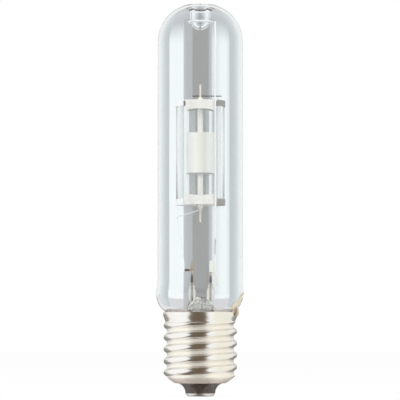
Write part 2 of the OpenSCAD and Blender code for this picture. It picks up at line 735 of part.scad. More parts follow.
// Quartz shroud, an open tube round the arc tube
module shroud() {
    color("lightcyan", 0.4)
        washer(shroud_r - shroud_wall, shroud_r, shroud_foot_z, shroud_foot_z + shroud_length);
}

// Pressed end cap: a cup that is slit into two wide flanges and two low side flanges
module shroud_cap() {
    flange_top = wide_flange_h - clip_t;
    arch_r = (pow(wide_flange_half_w, 2) + pow(flange_arch, 2)) / (2 * flange_arch);
    bore_r = capillary_d / 2 + clip_bore_clear;
    difference() {
        rotate_extrude($fn = fn_large)
            polygon([[bore_r, -clip_t], [clip_r, -clip_t], [clip_r, flange_top],
                [clip_r - clip_t, flange_top], [clip_r - clip_t, 0], [bore_r, 0]]);
        for (side = [0, 180]) rotate([0, 0, side]) {
            translate([wide_flange_half_w, -clip_r, slot_floor])
                cube([flange_slot, 2 * clip_r, wide_flange_h]);
            translate([wide_flange_half_w, -clip_r, side_flange_h - clip_t])
                cube([clip_r, 2 * clip_r, wide_flange_h]);
        }
        translate([0, 0, flange_top - flange_arch + arch_r]) rotate([90, 0, 0])
            cylinder(r = arch_r, h = 3 * clip_r, center = true, $fn = fn_large);
    }
}

module shroud_cap_bottom() {
    color("whitesmoke") translate([0, 0, shroud_foot_z]) shroud_cap();
}

module shroud_cap_top() {
    color("whitesmoke")
        translate([0, 0, shroud_foot_z + shroud_length]) rotate([180, 0, 0]) shroud_cap();
}

// Ceramic body of the arc tube
arc_in_r = arc_d / 2 - arc_wall;
module arc_tube_body() {
    color("ivory")
        washer(arc_in_r, arc_d / 2, shroud_mid_z - arc_length / 2, shroud_mid_z + arc_length / 2);
}

// The pieces of one end of the arc tube, drawn upwards from its middle
module end_disc() {
    washer(capillary_d / 2, arc_in_r, arc_length / 2 - disc_t, arc_length / 2);
}

// Capillary, with a small fillet where it leaves the disc
module capillary() {
    r = capillary_d / 2;
    foot = arc_length / 2;
    rotate_extrude($fn = fn_large)
        polygon(concat(
            [[capillary_bore / 2, foot - disc_t], [r, foot - disc_t], [r, foot],
                [r + capillary_fillet_r, foot]],
            arc([r + capillary_fillet_r, foot + capillary_fillet_r], capillary_fillet_r, 270, 180),
            [[r, capillary_reach], [capillary_bore / 2, capillary_reach]]));
}

// Sealing frit, a small cone on the end of the capillary
module frit_seal() {
    foot_d = 0.87 * capillary_d;
    tip_d = 1.3 * lead_in_d;
    color("antiquewhite")
    difference() {
        translate([0, 0, capillary_reach])
            cylinder(d1 = foot_d, d2 = tip_d, h = frit_h, $fn = fn_large);
        cylinder(d = lead_in_d, h = lead_in_reach, $fn = fn_small);
    }
}

// Lead-in, sealed in the outer part of the capillary
lead_in_foot = arc_length / 2 + lead_in_depth;
module lead_in() {
    color("tan")
        translate([0, 0, lead_in_foot])
            cylinder(d = lead_in_d, h = lead_in_reach - lead_in_foot, $fn = fn_small);
}

// Electrode rod, butt-welded to the lead-in, with a coil wound on its tip
module electrode() {
    tip = arc_gap / 2;
    color("gray") {
        translate([0, 0, tip])
            cylinder(d = electrode_d, h = lead_in_foot - tip, $fn = fn_small);
        for (i = [0:coil_turns - 1])
            translate([0, 0, tip + coil_setback + 0.9 * coil_wire_d * (i + 0.5)])
                rotate_extrude($fn = fn_large)
                    translate([electrode_d / 2 + 0.4 * coil_wire_d, 0])
                        circle(d = coil_wire_d, $fn = fn_small);
    }
}

// Turns a piece that is drawn upwards into the lower or the upper end of the arc tube
module upper_end() { translate([0, 0, shroud_mid_z]) children(); }

module lower_end() { translate([0, 0, shroud_mid_z]) rotate([180, 0, 0]) children(); }

module end_disc_top() { color("ivory") upper_end() end_disc(); }

module end_disc_bottom() { color("ivory") lower_end() end_disc(); }

module capillary_top() { color("linen") upper_end() capillary(); }

module capillary_bottom() { color("linen") lower_end() capillary(); }

module frit_seal_top() { upper_end() frit_seal(); }

module frit_seal_bottom() { lower_end() frit_seal(); }

module lead_in_top() { upper_end() lead_in(); }

module lead_in_bottom() { lower_end() lead_in(); }

module electrode_top() { upper_end() electrode(); }

module electrode_bottom() { lower_end() electrode(); }

// Beads of the dose: distance from the axis as a share of the hollow's radius, direction, radius
dose_beads = [[0.55, 20, 0.8], [0.64, 95, 0.6], [0.48, 200, 0.9], [0.67, 290, 0.55]];

// Beads of metal halide salt and mercury that lie on the lower end disc
module halide_dose() {
    floor_z = shroud_mid_z - arc_length / 2 + disc_t;
    color("goldenrod")
        for (bead = dose_beads) rotate([0, 0, bead[1]])
            translate([bead[0] * arc_in_r, 0, floor_z + bead[2]])
                sphere(bead[2], $fn = fn_small);
}

outer_bulb();
stem_glass();
exhaust_tube();
stem_lead_left();
stem_lead_right();
screw_shell();
base_insulator();
centre_contact();
centre_solder();
side_solder();
basing_cement();
centre_lead();
side_lead();
frame_rod();
dimple_ring();
upper_link();
lead_bar();
return_wire();
weld_tab();
getter_strip();
shroud();
shroud_cap_top();
shroud_cap_bottom();
arc_tube_body();
end_disc_top();
end_disc_bottom();
capillary_top();
capillary_bottom();
frit_seal_top();
frit_seal_bottom();
lead_in_top();
lead_in_bottom();
electrode_top();
electrode_bottom();
halide_dose();
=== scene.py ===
# %% [markdown]
# # A metal halide lamp, dressed for the studio
# The lamp comes as a fixed frame of solids at their real size: glass bulb, wire frame, ceramic
# arc tube and screw cap. This lesson gives each of them its finish, and swaps the round glass
# and the rolled cap for finer meshes, because glass shows every facet as a broken reflection.

# %% Load the fixed frame and keep its box
import math

import bpy
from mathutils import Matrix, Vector


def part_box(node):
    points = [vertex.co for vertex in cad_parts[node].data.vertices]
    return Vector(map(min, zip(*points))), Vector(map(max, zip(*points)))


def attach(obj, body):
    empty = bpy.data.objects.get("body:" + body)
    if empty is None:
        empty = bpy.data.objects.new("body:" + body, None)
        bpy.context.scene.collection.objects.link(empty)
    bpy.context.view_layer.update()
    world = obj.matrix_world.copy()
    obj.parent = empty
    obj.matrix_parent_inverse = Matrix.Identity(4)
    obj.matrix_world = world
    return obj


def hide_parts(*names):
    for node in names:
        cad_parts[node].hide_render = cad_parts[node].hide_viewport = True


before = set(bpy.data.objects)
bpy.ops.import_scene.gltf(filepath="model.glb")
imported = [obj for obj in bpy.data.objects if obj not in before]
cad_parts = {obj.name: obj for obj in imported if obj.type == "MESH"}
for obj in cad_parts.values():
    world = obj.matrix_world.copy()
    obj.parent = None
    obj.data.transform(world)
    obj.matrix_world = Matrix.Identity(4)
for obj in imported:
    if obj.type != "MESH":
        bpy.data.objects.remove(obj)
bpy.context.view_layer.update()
MM = 0.001

# %% [markdown]
# ## Camera
# The photo looks straight at the lamp from a long way off, a little above the foot of the cap:
# the screw's lines are flat there, while the rings near the dome open slightly upwards.
# A long lens far away keeps the tube's sides parallel. It is made first, so that every later
# step can be looked at.

# %% Make the camera
PHOTO_SPAN = 215.0 * MM
PHOTO_CENTRE = Vector((-0.16, 0.0, 105.35)) * MM
CAMERA_DISTANCE = 1.5
EYE_HEIGHT = 30.0 * MM

camera_data = bpy.data.cameras.new("studio_camera")
camera = bpy.data.objects.new("studio_camera", camera_data)
bpy.context.collection.objects.link(camera)
camera.location = (PHOTO_CENTRE.x, -CAMERA_DISTANCE, EYE_HEIGHT)
aim = PHOTO_CENTRE - camera.location
camera.rotation_euler = aim.to_track_quat("-Z", "Y").to_euler()
camera_data.sensor_width = 36.0
camera_data.lens = camera_data.sensor_width * aim.length / PHOTO_SPAN
camera_data.clip_end = 50.0
bpy.context.scene.camera = camera
print("lens", round(camera_data.lens, 1), "mm")

# %% [markdown]
# ## Effects that several finishes share
# Real surfaces are never one colour. A few node groups hold the effects that return on many
# pieces: cloudy patches that blend two colours, drawn scratches that vary the gloss, and soft
# strips of another colour. Each group is built once and gives out only colours and values, so
# that the shader in each material stays plain to read.


# %% Helpers: start a node group with named sockets, and set several sockets of a node
def new_group(name, inputs, outputs):
    group = bpy.data.node_groups.new(name, "ShaderNodeTree")
    for socket_name, kind, value in inputs:
        socket = group.interface.new_socket(socket_name, in_out="INPUT", socket_type=kind)
        if value is not None:
            socket.default_value = value
    for socket_name, kind in outputs:
        group.interface.new_socket(socket_name, in_out="OUTPUT", socket_type=kind)
    entry = group.nodes.new("NodeGroupInput")
    leave = group.nodes.new("NodeGroupOutput")
    return group, entry.outputs, leave.inputs


def set_inputs(node, values):
    for socket_name, value in values.items():
        node.inputs[socket_name].default_value = value


# %% Group: cloudy patches between two colours
def build_patches():
    group, given, out = new_group(
        "patches",
        [
            ("First", "NodeSocketColor", (0.8, 0.8, 0.8, 1)),
            ("Second", "NodeSocketColor", (0.5, 0.5, 0.5, 1)),
            ("Scale", "NodeSocketFloat", 200.0),
            ("Spread", "NodeSocketFloat", 0.5),
        ],
        [("Color", "NodeSocketColor")],
    )
    nodes, links = group.nodes, group.links
    place = nodes.new("ShaderNodeTexCoord")
    noise = nodes.new("ShaderNodeTexNoise")
    set_inputs(noise, {"Detail": 6.0, "Roughness": 0.6})
    ramp = nodes.new("ShaderNodeMapRange")
    set_inputs(ramp, {"From Min": 0.35, "From Max": 0.7})
    strength = nodes.new("ShaderNodeMath")
    strength.operation = "MULTIPLY"
    blend = nodes.new("ShaderNodeMix")
    blend.data_type = "RGBA"
    links.new(place.outputs["Object"], noise.inputs["Vector"])
    links.new(given["Scale"], noise.inputs["Scale"])
    links.new(noise.outputs["Fac"], ramp.inputs["Value"])
    links.new(ramp.outputs["Result"], strength.inputs[0])
    links.new(given["Spread"], strength.inputs[1])
    links.new(strength.outputs["Value"], blend.inputs["Factor"])
    links.new(given["First"], blend.inputs["A"])
    links.new(given["Second"], blend.inputs["B"])
    links.new(blend.outputs["Result"], out["Color"])
    return group


PATCHES = build_patches()
print("built", PATCHES.name)


# %% Group: fine scratches that follow one direction
def build_scratches():
    group, given, out = new_group(
        "scratches",
        [
            ("Stretch", "NodeSocketVector", (1.0, 1.0, 1.0)),
            ("Scale", "NodeSocketFloat", 800.0),
            ("Low", "NodeSocketFloat", 0.2),
            ("High", "NodeSocketFloat", 0.4),
        ],
        [("Roughness", "NodeSocketFloat"), ("Height", "NodeSocketFloat")],
    )
    nodes, links = group.nodes, group.links
    place = nodes.new("ShaderNodeTexCoord")
    stretch = nodes.new("ShaderNodeVectorMath")
    stretch.operation = "MULTIPLY"
    noise = nodes.new("ShaderNodeTexNoise")
    set_inputs(noise, {"Detail": 4.0})
    ramp = nodes.new("ShaderNodeMapRange")
    set_inputs(ramp, {"From Min": 0.3, "From Max": 0.7})
    links.new(place.outputs["Object"], stretch.inputs[0])
    links.new(given["Stretch"], stretch.inputs[1])
    links.new(stretch.outputs["Vector"], noise.inputs["Vector"])
    links.new(given["Scale"], noise.inputs["Scale"])
    links.new(noise.outputs["Fac"], ramp.inputs["Value"])
    links.new(given["Low"], ramp.inputs["To Min"])
    links.new(given["High"], ramp.inputs["To Max"])
    links.new(ramp.outputs["Result"], out["Roughness"])
    links.new(noise.outputs["Fac"], out["Height"])
    return group


SCRATCHES = build_scratches()
print("built", SCRATCHES.name)


# %% Group: one soft strip over the colour that is there already
def build_strip():
    group, given, out = new_group(
        "soft_strip",
        [
            ("Behind", "NodeSocketColor", (1, 1, 1, 1)),
            ("Strip", "NodeSocketColor", (0.5, 0.5, 0.5, 1)),
            ("Across", "NodeSocketFloat", 0.0),
            ("Centre", "NodeSocketFloat", 0.0),
            ("Inner", "NodeSocketFloat", 1.0),
            ("Outer", "NodeSocketFloat", 2.0),
        ],
        [("Color", "NodeSocketColor")],
    )
    nodes, links = group.nodes, group.links
    offset = nodes.new("ShaderNodeMath")
    offset.operation = "SUBTRACT"
    distance = nodes.new("ShaderNodeMath")
    distance.operation = "ABSOLUTE"
    fade = nodes.new("ShaderNodeMapRange")
    fade.interpolation_type = "SMOOTHSTEP"
    set_inputs(fade, {"To Min": 1.0, "To Max": 0.0})
    blend = nodes.new("ShaderNodeMix")
    blend.data_type = "RGBA"
    links.new(given["Across"], offset.inputs[0])
    links.new(given["Centre"], offset.inputs[1])
    links.new(offset.outputs["Value"], distance.inputs[0])
    links.new(distance.outputs["Value"], fade.inputs["Value"])
    links.new(given["Inner"], fade.inputs["From Min"])
    links.new(given["Outer"], fade.inputs["From Max"])
    links.new(fade.outputs["Result"], blend.inputs["Factor"])
    links.new(given["Behind"], blend.inputs["A"])
    links.new(given["Strip"], blend.inputs["B"])
    links.new(blend.outputs["Result"], out["Color"])
    return group


SOFT_STRIP = build_strip()
print("built", SOFT_STRIP.name)


# %% Helper: a soft strip at one place along an axis of the lamp
def strip_node(nodes, links, axis, centre, half, soft):
    """The centre, half width and softness are in millimetres."""
    place = nodes.new("ShaderNodeTexCoord")
    axes = nodes.new("ShaderNodeSeparateXYZ")
    strip = nodes.new("ShaderNodeGroup")
    strip.node_tree = SOFT_STRIP
    set_inputs(strip, {"Centre": centre * MM, "Inner": (half - soft) * MM,
                       "Outer": (half + soft) * MM})
    links.new(place.outputs["Object"], axes.inputs["Vector"])
    links.new(axes.outputs[axis], strip.inputs["Across"])
    return strip


# %% Helper: a material with a Principled shader, patches for colour and scratches for gloss
def finish_with(name, first, second, patch_scale, spread, stretch, grain, low, high, bump,
                depth=0.05, **shader_values):
    """Low and high are the ends of the roughness, depth is the bump's height in millimetres."""
    material = bpy.data.materials.new(name)
    material.use_nodes = True
    nodes, links = material.node_tree.nodes, material.node_tree.links
    shader = nodes["Principled BSDF"]
    set_inputs(shader, {key.replace("_", " "): value for key, value in shader_values.items()})
    colour = nodes.new("ShaderNodeGroup")
    colour.node_tree = PATCHES
    set_inputs(colour, {"First": (*first, 1), "Second": (*second, 1), "Scale": patch_scale,
                        "Spread": spread})
    gloss = nodes.new("ShaderNodeGroup")
    gloss.node_tree = SCRATCHES
    set_inputs(gloss, {"Stretch": stretch, "Scale": grain, "Low": low, "High": high})
    relief = nodes.new("ShaderNodeBump")
    set_inputs(relief, {"Strength": bump, "Distance": depth * MM})
    links.new(colour.outputs["Color"], shader.inputs["Base Color"])
    links.new(gloss.outputs["Roughness"], shader.inputs["Roughness"])
    links.new(gloss.outputs["Height"], relief.inputs["Height"])
    links.new(relief.outputs["Normal"], shader.inputs["Normal"])
    return material


# %% [markdown]
# ## Clear glass
# The bulb, the stem and the shroud are clear glass. The shader is a plain glass one, but a
# shadow ray that met it would find only black behind, because light does not come to a lamp's
# inner pieces along a straight line through a refracting wall. So shadow rays see a transparent
# surface, which Light Path tells apart inside the material itself.


# %% Helper: clear glass with slow waves in its surface
def clear_glass(name, tint, shade, ior, wave_stretch, wave_scale, wave, low, high, depth=0.05):
    material = finish_with(
        name, tint, shade, 60.0, 0.6, wave_stretch, wave_scale, low, high, wave, depth,
        IOR=ior, Transmission_Weight=1.0)
    nodes, links = material.node_tree.nodes, material.node_tree.links
    shader = nodes["Principled BSDF"]
    through = nodes.new("ShaderNodeBsdfTransparent")
    rays = nodes.new("ShaderNodeLightPath")
    choose = nodes.new("ShaderNodeMixShader")
    links.new(rays.outputs["Is Shadow Ray"], choose.inputs["Fac"])
    links.new(shader.outputs["BSDF"], choose.inputs[1])
    links.new(through.outputs["BSDF"], choose.inputs[2])
    links.new(choose.outputs["Shader"], nodes["Material Output"].inputs["Surface"])
    return material


# %% Mix the three kinds of glass
bulb_glass = clear_glass("bulb_glass", (0.97, 0.985, 0.99), (0.95, 0.97, 0.975), 1.48,
                         (1.0, 1.0, 0.12), 90.0, 0.02, 0.0, 0.012)
shroud_quartz = clear_glass("shroud_quartz", (0.985, 0.99, 0.985), (0.96, 0.97, 0.96), 1.46,
                            (1.0, 1.0, 0.1), 260.0, 0.04, 0.0, 0.02)
stem_clear = clear_glass("stem_clear", (0.97, 0.975, 0.95), (0.92, 0.92, 0.87), 1.52,
                         (1.0, 1.0, 1.0), 1100.0, 1.0, 0.02, 0.2, 0.5)
print("mixed three kinds of glass")

# %% [markdown]
# ## Metals, ceramics and the rest
# The cap is nickel-plated brass, bright and a little warm. The frame rod is plain nickel wire
# and the return wire a brighter one; the upper link and the bar are dark from the heat of
# welding. The arc tube is sintered alumina, white and translucent. The insulator is nearly
# black glass. All come from one function, as they differ mostly in their two colours, their
# gloss and the grain of their surface.

# %% Mix the opaque finishes
ROUND_THE_AXIS = (1.0, 1.0, 6.0)
ALONG_THE_AXIS = (6.0, 6.0, 1.0)
EVEN = (1.0, 1.0, 1.0)
cap_metal = finish_with("cap_metal", (0.95, 0.94, 0.91), (0.90, 0.87, 0.80), 90.0, 0.5,
                        ROUND_THE_AXIS, 220.0, 0.15, 0.25, 0.03, Metallic=1.0,
                        Specular_Tint=(0.6, 0.58, 0.55, 1))
contact_metal = finish_with("contact_metal", (0.82, 0.81, 0.79), (0.62, 0.60, 0.57), 700.0, 0.7,
                            EVEN, 900.0, 0.3, 0.5, 0.4, Metallic=1.0)
black_glass = finish_with("black_glass", (0.048, 0.034, 0.030), (0.080, 0.058, 0.050), 420.0,
                          0.9, EVEN, 600.0, 0.16, 0.42, 0.6, IOR=1.6)
nickel_wire = finish_with("nickel_wire", (0.94, 0.955, 0.96), (0.85, 0.855, 0.85), 900.0, 0.6,
                          ALONG_THE_AXIS, 1500.0, 0.35, 0.5, 0.2, Metallic=0.6)
bright_wire = finish_with("bright_wire", (0.93, 0.96, 0.99), (0.84, 0.87, 0.90), 900.0, 0.6,
                          ALONG_THE_AXIS, 1500.0, 0.4, 0.55, 0.2, Metallic=0.25)
tab_sheet = finish_with("tab_sheet", (0.90, 0.92, 0.84), (0.80, 0.81, 0.70), 900.0, 0.7,
                        ALONG_THE_AXIS, 1500.0, 0.35, 0.5, 0.3, Metallic=0.6)
dark_wire = finish_with("dark_wire", (0.050, 0.042, 0.036), (0.11, 0.085, 0.06), 900.0, 0.8,
                        EVEN, 1500.0, 0.35, 0.6, 0.3, Metallic=0.7)
bar_wire = finish_with("bar_wire", (0.055, 0.046, 0.038), (0.12, 0.09, 0.06), 900.0, 0.8,
                       EVEN, 1500.0, 0.35, 0.6, 0.3, Metallic=0.7)
lead_metal = finish_with("lead_metal", (0.66, 0.56, 0.42), (0.30, 0.22, 0.14), 700.0, 0.9,
                         ALONG_THE_AXIS, 1500.0, 0.3, 0.5, 0.2, Metallic=1.0)
end_cap_sheet = finish_with("end_cap_sheet", (0.93, 0.92, 0.88), (0.80, 0.78, 0.72), 500.0, 0.7,
                            ROUND_THE_AXIS, 1100.0, 0.38, 0.6, 0.3, Metallic=0.55)
alumina = finish_with("alumina", (0.97, 0.96, 0.92), (0.93, 0.905, 0.84), 260.0, 0.6, EVEN,
                      2500.0, 0.35, 0.55, 0.2, IOR=1.7, Subsurface_Weight=0.3,
                      Subsurface_Radius=(1.0, 1.0, 0.9), Subsurface_Scale=0.0004)
tube_alumina = finish_with("tube_alumina", (0.98, 0.975, 0.945), (0.94, 0.92, 0.87), 260.0, 0.6,
                           EVEN, 2500.0, 0.35, 0.55, 0.2, IOR=1.7, Subsurface_Weight=0.3,
                           Subsurface_Radius=(1.0, 1.0, 0.9), Subsurface_Scale=0.0004)
niobium = finish_with("niobium", (0.90, 0.85, 0.75), (0.70, 0.60, 0.47), 800.0, 0.8,
                      ALONG_THE_AXIS, 1800.0, 0.35, 0.55, 0.2, Metallic=0.6)
frit_glaze = finish_with("frit_glaze", (0.90, 0.86, 0.77), (0.72, 0.62, 0.48), 1200.0, 0.8,
                         EVEN, 2500.0, 0.3, 0.5, 0.5)
tungsten = finish_with("tungsten", (0.36, 0.36, 0.37), (0.20, 0.20, 0.21), 1500.0, 0.6, EVEN,
                       2500.0, 0.4, 0.6, 0.3, Metallic=1.0)
halide_salt = finish_with("halide_salt", (0.82, 0.70, 0.34), (0.66, 0.46, 0.16), 1500.0, 0.8,
                          EVEN, 2500.0, 0.2, 0.5, 0.6)
getter_metal = finish_with("getter_metal", (0.93, 0.95, 0.86), (0.84, 0.84, 0.70), 900.0, 0.7,
                           ALONG_THE_AXIS, 1500.0, 0.35, 0.55, 0.3, Metallic=0.8)
solder_metal = finish_with("solder_metal", (0.74, 0.66, 0.56), (0.40, 0.27, 0.20), 700.0, 0.9,
                           EVEN, 1200.0, 0.25, 0.5, 0.8, Metallic=0.7)
# Painted reflection: this yellow stands in for a yellow reflection at the neck's right edge.
dried_flux = finish_with("dried_flux", (0.92, 0.86, 0.72), (0.80, 0.68, 0.42), 500.0, 0.9,
                         EVEN, 1500.0, 0.25, 0.55, 0.6, Transmission_Weight=0.35, IOR=1.5)
bubble_glass = finish_with("bubble_glass", (0.98, 0.985, 0.965), (0.80, 0.81, 0.77), 900.0, 0.9,
                           EVEN, 900.0, 0.08, 0.2, 0.2, Transmission_Weight=0.35, IOR=1.45)
contact_solder = finish_with("contact_solder", (0.78, 0.78, 0.77), (0.55, 0.54, 0.52), 900.0,
                             0.7, EVEN, 900.0, 0.25, 0.5, 0.6, Metallic=1.0)
cap_cement = finish_with("cap_cement", (0.90, 0.80, 0.74), (0.76, 0.62, 0.55), 900.0, 0.8, EVEN,
                         1800.0, 0.7, 0.95, 1.0)
thin_copper = finish_with("thin_copper", (0.80, 0.52, 0.36), (0.50, 0.28, 0.18), 900.0, 0.7,
                          ALONG_THE_AXIS, 1500.0, 0.3, 0.5, 0.2, Metallic=1.0)
print("mixed", len(bpy.data.materials), "materials")

# %% [markdown]
# ## Marks of heat, painted shade and painted highlights
# The thread's valleys are painted darker than its crests, as painted shade in the hollows, and
# have a duller, less metallic skin. Welding has left the stem leads dark at their knots and has
# tanned the bar where it crosses the left one. The cap is browner just above its glass
# insulator. Each end cap has painted shade at its right end and a painted highlight at its
# left one, and the middle of the arc tube's wall is painted darker, as the shade of the
# electrodes inside it.
# All this could be painted on images, but a mask that is worked out from the place on the
# lamp needs no unwrapping and stays clean however near the camera comes.


# %% Helper: painted shade and a duller skin nearer to the lamp's axis than a radius
def shade_and_dull_valleys(material, low, high, colour, gloss, metal):
    nodes, links = material.node_tree.nodes, material.node_tree.links
    shader = nodes["Principled BSDF"]
    place = nodes.new("ShaderNodeTexCoord")
    flat = nodes.new("ShaderNodeVectorMath")
    flat.operation = "MULTIPLY"
    flat.inputs[1].default_value = (1, 1, 0)
    away = nodes.new("ShaderNodeVectorMath")
    away.operation = "LENGTH"
    mask = nodes.new("ShaderNodeMapRange")
    mask.interpolation_type = "SMOOTHSTEP"
    set_inputs(mask, {"From Min": low * MM, "From Max": high * MM, "To Min": 1.0, "To Max": 0.0})
    links.new(place.outputs["Object"], flat.inputs[0])
    links.new(flat.outputs["Vector"], away.inputs[0])
    links.new(away.outputs["Value"], mask.inputs["Value"])
    # Painted shade: nearer the axis, in the valleys, the colour turns darker.
    tint = nodes.new("ShaderNodeMix")
    tint.data_type = "RGBA"
    tint.inputs["B"].default_value = (*colour, 1)
    links.new(shader.inputs["Base Color"].links[0].from_socket, tint.inputs["A"])
    links.new(mask.outputs["Result"], tint.inputs["Factor"])
    links.new(tint.outputs["Result"], shader.inputs["Base Color"])
    rough = nodes.new("ShaderNodeMix")
    rough.inputs["B"].default_value = gloss
    links.new(shader.inputs["Roughness"].links[0].from_socket, rough.inputs["A"])
    links.new(mask.outputs["Result"], rough.inputs["Factor"])
    links.new(rough.outputs["Result"], shader.inputs["Roughness"])
    plain = nodes.new("ShaderNodeMapRange")
    set_inputs(plain, {"To Min": 1.0, "To Max": metal})
    links.new(mask.outputs["Result"], plain.inputs["Value"])
    links.new(plain.outputs["Result"], shader.inputs["Metallic"])


# %% Paint shade into the thread's valleys and give them a duller skin than the crests
VALLEY_TO, CREST_FROM = 17.98, 18.4
shade_and_dull_valleys(cap_metal, VALLEY_TO, CREST_FROM, (0.86, 0.82, 0.74), 0.34, 0.56)
print("dulled the valleys of", cap_metal.name)


# %% Helper: lay a soft band of another colour across a finish
def band_across(material, axis, centre, half, soft, colour):
    nodes, links = material.node_tree.nodes, material.node_tree.links
    base = nodes["Principled BSDF"].inputs["Base Color"]
    band = strip_node(nodes, links, axis, centre, half, soft)
    band.inputs["Strip"].default_value = (*colour, 1)
    links.new(base.links[0].from_socket, band.inputs["Behind"])
    links.new(band.outputs["Color"], base)


# %% Lay the bands: finish, axis, centre, half width, softness and colour
BANDS = [
    (lead_metal, "Z", 62.8, 2.2, 0.8, (0.14, 0.12, 0.11)),
    (bar_wire, "X", -4.4, 1.4, 0.5, (0.50, 0.36, 0.24)),
    # Painted shade: the right end of each end cap is painted dark.
    (end_cap_sheet, "X", 12.6, 3.8, 0.3, (0.32, 0.32, 0.30)),
    (cap_metal, "Z", 7.0, 2.0, 1.5, (0.72, 0.63, 0.57)),
    # Painted highlight: the left end of each end cap is painted nearly white.
    (end_cap_sheet, "X", -12.0, 3.6, 0.6, (0.985, 0.995, 1.0)),
    # Painted shade: the middle of the arc tube's wall is painted darker.
    (tube_alumina, "X", 0.3, 2.0, 1.0, (0.905, 0.875, 0.83)),
]
for band in BANDS:
    band_across(*band)
print("laid", len(BANDS), "bands")

# %% [markdown]
# ## Every solid gets its finish
# The solids come with names, so one table says which finish each of them wears. A solid that
# comes without a material gets one, and every slot that is there already takes the new one.

# %% Give every solid of the frame its finish
FINISH_OF = {
    "outer_bulb": bulb_glass, "stem_glass": stem_clear, "exhaust_tube": stem_clear,
    "shroud": shroud_quartz,
    "stem_lead_left": lead_metal, "stem_lead_right": lead_metal,
    "screw_shell": cap_metal, "base_insulator": black_glass,
    "centre_contact": contact_metal, "centre_solder": contact_solder,
    "side_solder": solder_metal, "basing_cement": cap_cement,
    "centre_lead": thin_copper, "side_lead": thin_copper,
    "frame_rod": nickel_wire, "dimple_ring": nickel_wire, "upper_link": dark_wire,
    "lead_bar": bar_wire, "return_wire": bright_wire, "weld_tab": tab_sheet,
    "getter_strip": getter_metal,
    "shroud_cap_top": end_cap_sheet, "shroud_cap_bottom": end_cap_sheet,
    "arc_tube_body": tube_alumina, "end_disc_top": alumina, "end_disc_bottom": alumina,
    "capillary_top": alumina, "capillary_bottom": alumina,
    "frit_seal_top": frit_glaze, "frit_seal_bottom": frit_glaze,
    "lead_in_top": niobium, "lead_in_bottom": niobium,
    "electrode_top": tungsten, "electrode_bottom": tungsten,
    "halide_dose": halide_salt,
}
for node_name, material in FINISH_OF.items():
    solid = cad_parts[node_name]
    if not solid.data.materials:
        solid.data.materials.append(material)
    for material_slot in solid.material_slots:
        material_slot.material = material
print("dressed", len(FINISH_OF), "solids")

# %% [markdown]
# ## Turned pieces
# The bulb, the shroud and the cement under the rim are round about the lamp's axis, or nearly
# so, and each is an outline turned about it. The outline may change a little with the angle,
# as the bulb's does where it swells more at the left, which a plain turning can't do. Its
# curves are true arcs with many steps, because a facet in clear glass shows at once.

# %% Helpers: arcs, a mesh turned about the lamp's axis, and a mesh that stands for a solid
ARC_STEPS = 28


def arc(centre, radius, start, end, steps=ARC_STEPS):
    angles = [math.radians(start + (end - start) * i / steps) for i in range(steps + 1)]
    return [(centre[0] + radius * math.cos(a), centre[1] + radius * math.sin(a)) for a in angles]


def turned(name, outline_at, sides=192):
    """A closed outline of (radius, height) in millimetres for each angle round the axis."""
    columns = [outline_at(2 * math.pi * j / sides) for j in range(sides)]
    points, rings, faces = [], [], []
    for i, (radius, height) in enumerate(columns[0]):
        if radius < 1e-6:
            rings.append([len(points)] * sides)
            points.append((0.0, 0.0, height * MM))
            continue
        rings.append([len(points) + j for j in range(sides)])
        for j, column in enumerate(columns):
            a = 2 * math.pi * j / sides
            r, z = column[i]
            points.append((r * math.cos(a) * MM, r * math.sin(a) * MM, z * MM))
    for ring, above in zip(rings, rings[1:] + rings[:1]):
        if ring[0] == ring[1] and above[0] == above[1]:
            continue
        for j in range(sides):
            k = (j + 1) % sides
            corners = [ring[j], ring[k], above[k], above[j]]
            faces.append(list(dict.fromkeys(corners)))
    return mesh_piece(name, points, faces)


def mesh_piece(name, points, faces, sharp=40.0):
    mesh = bpy.data.meshes.new(name)
    mesh.from_pydata(points, [], faces)
    mesh.validate()
    mesh.update()
    mesh.shade_smooth()
    mesh.set_sharp_from_angle(angle=math.radians(sharp))
    piece = bpy.data.objects.new(name, mesh)
    bpy.context.collection.objects.link(piece)
    return piece


def stands_for(piece, node_name, material):
    """The piece hangs on the root body with the given material, and the solid it stands for is
    hidden.
    """
    piece.data.materials.append(material)
    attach(piece, "root")
    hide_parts(node_name)
    print(piece.name, "has", len(piece.data.polygons), "faces")


# %% Turn the outer bulb
BULB_R = 23.0
LAMP_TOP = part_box("outer_bulb")[1][2] / MM
BULB_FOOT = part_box("outer_bulb")[0][2] / MM
RIM_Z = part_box("screw_shell")[1][2] / MM
BULB_WALL = 1.3
SHOULDER_R, SHOULDER_RISE = 12.0, 9.955
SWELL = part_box("outer_bulb")[1][0] / MM - BULB_R
LEAST_SWELL, SWELL_FILLET = 0.1, 20.0
NECK_R, NECK_FILLET = 15.6, 5.0
DOME_R = 20.6
DIMPLE_R, DIMPLE_WALL, DIMPLE_DEPTH, LIP_R = 3.5, 1.9, 12.0, 2.0
HOLLOW_FILLET, HOLLOW_FLARE = 2.0, 0.8


def fall(radius, across):
    return math.sqrt(radius**2 - across**2)


def lean_of(start, end):
    return math.degrees(math.atan2(end[1] - start[1], end[0] - start[0]))


